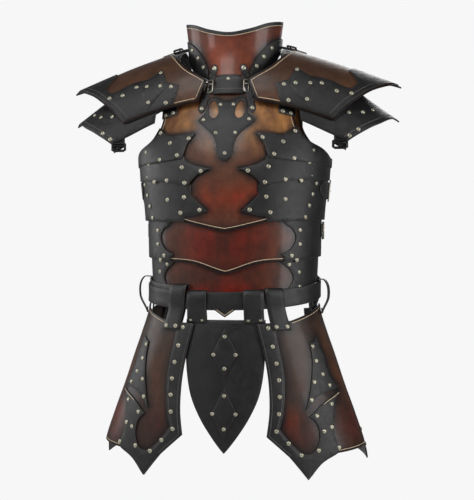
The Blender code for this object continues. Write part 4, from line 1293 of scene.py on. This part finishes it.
def make_belt():
    """The belt and the loops that hang from it."""
    add("belt_leather", plate(HIPS, [belt_outline()], PLATE, belt_lift), BLACK_STRAP, ("belt",))
    half = BELT_WIDTH / 2
    tip = belt_middle(0) - half - BELT_POINT
    turn = BELT_POINT_HALF * HIPS.flat[0]
    out = BELT_V_SHARE * turn
    rise = tip + BELT_POINT * BELT_V_SHARE
    vee = np.array([(-out, rise), (0.0, tip), (out, rise)])
    vee[:, 1] += BELT_V_INSET
    add("belt_line", ribbon(HIPS, vee, lambda u, v: belt_lift(u) + PLATE), TAN, ())
    in_between = -PLATE - 2 * GAP
    side_width = SIDE_LOOP_WIDTH
    # Name, place round the hips, width, shares down to the plate's top and the legs' feet, outer and inner
    # side of the plate between the legs, bulge and lean
    apron_place, front_place = hip_place(0.207, 0), hip_place(0.357, 0)
    loops = (
        ("apron_strap", apron_place, LOOP_WIDTH, 0.109, 0.128, 0.0, in_between, 0.0, 0.0),
        ("tasset_front_strap", front_place, LOOP_WIDTH, 0.117, 0.17, ON_OVERLAY, -GAP, 0.0, LOOP_LEAN),
        ("tasset_side_strap", 0.93, side_width, 0.040, 0.09, ON_PLATE, in_between, SIDE_LOOP_BULGE, 0.0),
        ("rear_strap", 1.30, side_width, 0.050, 0.150, 0.0, in_between, 0.0, 0.0),
    )
    for name, middle, width, plate_top, foot, front, rear, bulge, lean in loops:
        reach = width / 2 / HIPS.flat[0]
        plate_top = -BELT_DROP - plate_top * SKIRT_LENGTH
        foot = -BELT_DROP - foot * SKIRT_LENGTH
        for side, end in ((1, "_R"), (-1, "_L")):
            belts = [belt_at(side * (middle + k * reach)) for k in (-1, 0, 1)]
            top, under, inner, outer = zip(*belts)
            belt = (max(top), min(under), min(inner), max(outer))
            path = loop_path(belt, plate_top, foot, front, rear, bulge)
            loop = band(HIPS, side * middle, path, width, STRAP, lean)
            add(name + "_leather" + end, loop, BLACK_STRAP, (name + end,))
            shift = math.copysign(lean, side) * (-BELT_DROP - foot) / HIPS.flat[0]
            if width < LOOP_WIDTH:
                spots = [(side * middle, foot + SIDE_LOOP_RIVET_UP)]
            else:
                apart = [k * LOOP_RIVET_SHARE * width / HIPS.flat[0] for k in (-1, 1)]
                spots = [(side * middle + shift + u, foot + LOOP_RIVET_UP) for u in apart]
            add(name + "_rivets" + end, rivets(HIPS, spots, front + STRAP), BRASS, ())


def make_skirt():
    """The thigh plates and the apron with their overlays, lines and rivets."""
    tasset, border, dagger = (hip_pattern(table) for table in (TASSET, TASSET_BORDER, TASSET_DAGGER))
    heights = (-BELT_DROP - 1.05 * SKIRT_LENGTH, -BELT_DROP)
    top = ON_PLATE + OVERLAY
    add_pair("tasset", plate(HIPS, [tasset], PLATE, 0.0, GRID, [border, dagger]), THIGH)
    lines = [line_beside(HIPS, tasset, *ends, HEM_LINE_INSET, PLATE) for ends in ((0, 1), (10, 11))]
    lines.append(line_beside(HIPS, border, 13, 14, NOTCH_LINE_INSET, top))
    add_pair("tasset_lines", all_joined(lines), TAN, "tasset")
    add_pair("tasset_border", plate(HIPS, [border], OVERLAY, ON_PLATE), BLACK)
    lines = [line_beside(HIPS, border, *ends, BORDER_LINE_INSET, top) for ends in ((1, 6), (20, 24))]
    add_pair("tasset_border_lines", all_joined(lines), HIGHLIT_SCORED_LINE, "tasset_border")
    add_pair("tasset_dagger", plate(HIPS, [dagger], OVERLAY, ON_PLATE), BLACK)
    for name in ("border", "dagger"):
        node = "tasset_" + name
        riveted(node + "_rivets", name, HIPS, (0, 1), heights, top, node)
    behind = -PLATE - GAP
    add_pair("rear_tasset", plate(HIPS, [hip_pattern(REAR_TASSET)], PLATE, behind), THIGH)
    spots = [(u, -BELT_DROP - share * SKIRT_LENGTH) for u, share in REAR_RIVETS]
    add_pair("rear_tasset_rivets", rivets(HIPS, spots, behind + PLATE), BRASS, "rear_tasset")
    apron = hip_pattern(APRON, True)
    add("apron_leather", plate(HIPS, [apron], PLATE, behind), BLACK, ("apron",))
    groove = line_beside(HIPS, apron, 11, 1, APRON_GROOVE_INSET, behind + PLATE)
    add("apron_groove", groove, GROOVE, ())
    side = seen(HIPS, RIVET_PIXELS["diamonds"], (0, 0.5), heights, OVERLAY)
    for (name, upper, middle, lower), place in zip(DIAMONDS, side):
        node = "apron_diamond_" + name
        table = ((0.0, upper), (DIAMOND_HALF_WIDTH, middle), (0.0, lower))
        shape = plate(HIPS, [hip_pattern(table, True)], OVERLAY, 0.0, FINE_GRID)
        add(node + "_leather", shape, BLACK_STRAP, (node,))
        shares = (upper + DIAMOND_RIVET_IN, lower - DIAMOND_RIVET_IN)
        ends = [(0.0, -BELT_DROP - share * SKIRT_LENGTH) for share in shares]
        spots = [place, (-place[0], place[1]), *ends]
        add(node + "_rivets", rivets(HIPS, spots, OVERLAY, SMALL_RIVET), BRASS, ())


def make_collar():
    """The standing collar, its wings, and the bar and buckled straps at its foot."""
    front = collar_pattern(GORGET_FRONT, True)
    wing = collar_pattern(GORGET_WING)
    shape = plate(COLLAR, [front], PLATE, 0.0, FINE_GRID, [wing, other_side(wing)])
    add("gorget_front_leather", shape, NECK, ("gorget_front",))
    rim = line_beside(COLLAR, front, 17, 3, RIM_INSET, PLATE, RIM_WIDTH)
    add("gorget_rim", rim, BLACK_STRAP, ())
    line = line_beside(COLLAR, front, 17, 3, RIM_LINE_INSET, PLATE)
    add("gorget_line", line, TAN, ())
    back = collar_pattern(GORGET_BACK, True)
    add("gorget_back_leather", plate(COLLAR, [back], PLATE, -PLATE - GAP), NECK, ("gorget_back",))
    add_pair("gorget_wing", plate(COLLAR, [wing], OVERLAY, ON_PLATE, FINE_GRID), BLACK)
    top = ON_PLATE + OVERLAY
    riveted("gorget_wing_rivets", "wing", COLLAR, (0, 1), (0, COLLAR_HEIGHT), top, "gorget_wing")

    high = BAR_WIDTH / 2
    low = high + BAR_SPREAD
    corners = ((-low, BAR_BOTTOM), (low, BAR_BOTTOM), (high, BAR_TOP), (-high, BAR_TOP))
    shape = plate(THROAT, [[(x, z, False) for x, z in corners]], OVERLAY, GAP, THROAT_GRID)
    add("gorget_bar_leather", shape, BLACK_STRAP, ("gorget_bar",))
    over = GAP + OVERLAY
    grooves = []
    for share in BAR_GROOVES:
        level = BAR_BOTTOM + share * (BAR_TOP - BAR_BOTTOM)
        end = low + (high - low) * share
        line = np.array([(x, level) for x in np.linspace(-end, end, 12)])
        grooves.append(ribbon(THROAT, line, over, BAR_GROOVE_WIDTH))
    add("gorget_bar_grooves", all_joined(grooves), HIGHLIT_SCORED_LINE, ())
    rivet = rivets(THROAT, [(0.0, BAR_TOP - BAR_RIVET_IN)], over, SMALL_RIVET)
    add("gorget_bar_rivet", rivet, BRASS, ())

    top = np.array(COLLAR_STRAP_TOP)
    end = np.array(COLLAR_STRAP_END)
    way = unit(end - top)
    side = np.array((-way[1], way[0])) * COLLAR_STRAP_WIDTH / 2
    tip = way * COLLAR_STRAP_WIDTH / 2
    corners = [(top - side, False), (top - tip, True), (top + side, False), (end + side, False)]
    corners += [(end + tip, True), (end - side, False)]
    strap = [(p[0], p[1], r) for p, r in corners]
    add_pair("gorget_strap", plate(THROAT, [strap], STRAP, GAP, THROAT_GRID), BLACK_STRAP)
    over = GAP + STRAP
    # Name, place, metal and size
    ends = (("top", top + way * 0.002, BRIGHT, STRAP_TOP_RIVET), ("end", end - way * 0.003, BRASS, 1.0))
    for name, place, metal, size in ends:
        rivet = rivets(THROAT, [tuple(place)], over, size)
        add_pair("gorget_strap_" + name + "_rivets", rivet, metal, "gorget_strap")
    middle = top + (end - top) * BUCKLE_PLACE
    frame_shape = buckle(THROAT, middle, way, BUCKLE_WIDTH, BUCKLE_LENGTH, BUCKLE_BAR * 1.2, over)
    for side_name, shape in (("_R", frame_shape), ("_L", frame_shape.mirrored())):
        add("gorget_buckle_frame" + side_name, shape, STEEL, ("gorget_buckle" + side_name,))


def make_shoulders():
    """The shoulder plates, their overlays and the straps that carry them."""
    upper, cap, lower = (shoulder_pattern(t) for t in (PAULDRON_UPPER, PAULDRON_CAP, PAULDRON_LOWER))
    top = ON_PLATE + OVERLAY
    reach = (SHOULDER_ROWS[0][0] * SHOULDER_REACH, SHOULDER_REACH)
    add_pair("pauldron_upper", plate(ARCH, [upper], PLATE, 0.0), SHOULDER)
    line = line_beside(ARCH, upper, 0, 4, SHOULDER_LINE_INSET, PLATE)
    add_pair("pauldron_lines", line, TAN, "pauldron_upper")
    groove = line_beside(ARCH, upper, 6, 11, SHOULDER_GROOVE_INSET, PLATE, SHOULDER_GROOVE_WIDTH)
    add_pair("pauldron_groove", groove, GROOVE, "pauldron_upper")
    add_pair("pauldron_cap", plate(ARCH, [cap], OVERLAY, ON_PLATE), BLACK)
    diamond = [(u, v, False) for u, v in seen(ARCH, DIAMOND_PIXELS, reach, (0, 1.05), top)]
    shape = plate(ARCH, [diamond], OVERLAY / 2, top, FINE_GRID)
    add_pair("pauldron_diamond", shape, BLACK_STRAP, "pauldron_cap")
    line = line_beside(ARCH, cap, 11, 16, SHOULDER_HIGHLIT_LINE_INSET, top)
    add_pair("pauldron_cap_line", line, HIGHLIT_SCORED_LINE, "pauldron_cap")
    riveted("pauldron_cap_rivets", "cap", ARCH, reach, (0, 1.05), top, "pauldron_cap")

    under = -PLATE + GAP
    add_pair("pauldron_lower", plate(LOWER_ARCH, [lower], PLATE, under), BLACK)
    over = under + PLATE
    line = line_beside(LOWER_ARCH, lower, 4, 7, SHOULDER_HIGHLIT_LINE_INSET, over)
    add_pair("pauldron_lower_line", line, HIGHLIT_SCORED_LINE, "pauldron_lower")
    riveted("pauldron_lower_rivets", "lower_shoulder", LOWER_ARCH, reach, (0, 1.3), over, "pauldron_lower")
    out = ARM_STRAP_PLACE * SHOULDER_REACH
    half = ARM_STRAP_WIDTH / 2
    stub = rectangle(out - half, out + half, *ARM_STRAP_ENDS)
    add_pair("arm_strap", plate(LOWER_ARCH, [stub], STRAP, -PLATE - STRAP), BLACK_STRAP)
    shape = buckle(LOWER_ARCH, (out, ARM_BUCKLE_AT), (0, 1), *ARM_BUCKLE, -PLATE)
    add_pair("arm_buckle", shape, IRON, "gorget_buckle")

    strap = rectangle(SHOULDER_STRAP_IN, SHOULDER_STRAP_OUT, -SHOULDER_STRAP_END, SHOULDER_STRAP_END)
    add_pair("shoulder_strap", plate(STRAPS, [strap], STRAP, 0.0, FINE_GRID), BLACK_STRAP)
    middle = (SHOULDER_STRAP_IN + SHOULDER_STRAP_OUT) / 2
    spots = [(middle - 0.008, 1.10), (middle + 0.008, 1.10)]
    add_pair("shoulder_strap_rivets", rivets(STRAPS, spots, STRAP), BRASS, "shoulder_strap")
    shape = plate(ARCH, [rectangle(*TAB)], STRAP, ON_PLATE, FINE_GRID)
    add_pair("shoulder_tab", shape, BLACK_STRAP, "shoulder_strap")
    shape = buckle(ARCH, (TAB_BUCKLE_AT, 0.0), (1, 0), *TAB_BUCKLE, ON_PLATE + STRAP)
    add_pair("shoulder_tab_buckle", shape, IRON, "gorget_buckle")


def make_stage():
    """A pale floor, soft lights and the picture's camera."""
    mesh = bpy.data.meshes.new("floor")
    sides, radius, level = 64, 1.9, -1.3
    angle = np.arange(sides) * 2 * math.pi / sides
    ring = [(radius * math.cos(a), radius * math.sin(a), level) for a in angle]
    mesh.from_pydata(ring, [], [tuple(range(sides))])
    n = Nodes("pale_floor")
    n.finish(n.ramp(n.noise(3.0), (0.3, 0.80), (0.7, 0.84)), n.ramp(n.noise(5.0), (0.3, 0.7), (0.7, 0.8)))
    mesh.materials.append(n.material)
    floor = bpy.data.objects.new("floor", mesh)
    bpy.context.scene.collection.objects.link(floor)

    world = bpy.data.worlds.new("studio")
    world.use_nodes = True
    tree = world.node_tree
    shown = tree.nodes["Background"]
    shown.inputs["Color"].default_value = (0.93, 0.93, 0.935, 1)
    lighting = tree.nodes.new("ShaderNodeBackground")
    lighting.inputs["Color"].default_value = (0.93, 0.95, 1.0, 1)
    lighting.inputs["Strength"].default_value = 0.14
    ray = tree.nodes.new("ShaderNodeLightPath")
    mix = tree.nodes.new("ShaderNodeMixShader")
    tree.links.new(ray.outputs["Is Camera Ray"], mix.inputs["Fac"])
    tree.links.new(lighting.outputs[0], mix.inputs[1])
    tree.links.new(shown.outputs[0], mix.inputs[2])
    tree.links.new(mix.outputs[0], tree.nodes["World Output"].inputs["Surface"])
    bpy.context.scene.world = world

    # Name, place, what it faces, size and power
    lamps = (
        ("left_box", (-2.4, 0.2, 0.2), (0.0, 0.0, -0.25), 1.4, 28),
        ("right_box", (2.2, -1.2, 0.0), (0.0, 0.0, -0.3), 1.3, 42),
        ("top_box", (-0.5, -1.9, 1.5), (0.0, 0.0, -0.15), 1.2, 38),
        ("front_box", (-2.4, -2.3, 0.3), (0.0, 0.0, -0.3), 0.8, 22),
        ("back_box", (0.2, 2.4, 1.2), (0.0, 0.0, -0.2), 2.0, 50),
    )
    for name, place, target, size, power in lamps:
        light = bpy.data.lights.new(name, "AREA")
        light.size = size
        light.energy = power
        lamp = bpy.data.objects.new(name, light)
        lamp.location = place
        lamp.rotation_euler = (Vector(target) - Vector(place)).to_track_quat("-Z", "Y").to_euler()
        bpy.context.scene.collection.objects.link(lamp)

    camera = bpy.data.cameras.new("camera")
    camera.lens = LENS
    camera.sensor_width = SENSOR
    view = bpy.data.objects.new("camera", camera)
    view.location = CAMERA_PLACE
    view.rotation_euler = (math.pi / 2, 0.0, VIEW_TURN)
    bpy.context.scene.collection.objects.link(view)
    bpy.context.scene.camera = view
    bpy.context.scene.view_settings.view_transform = "Standard"


make_stage()
make_torso()
make_lames()
make_belt()
make_skirt()
make_collar()
make_shoulders()
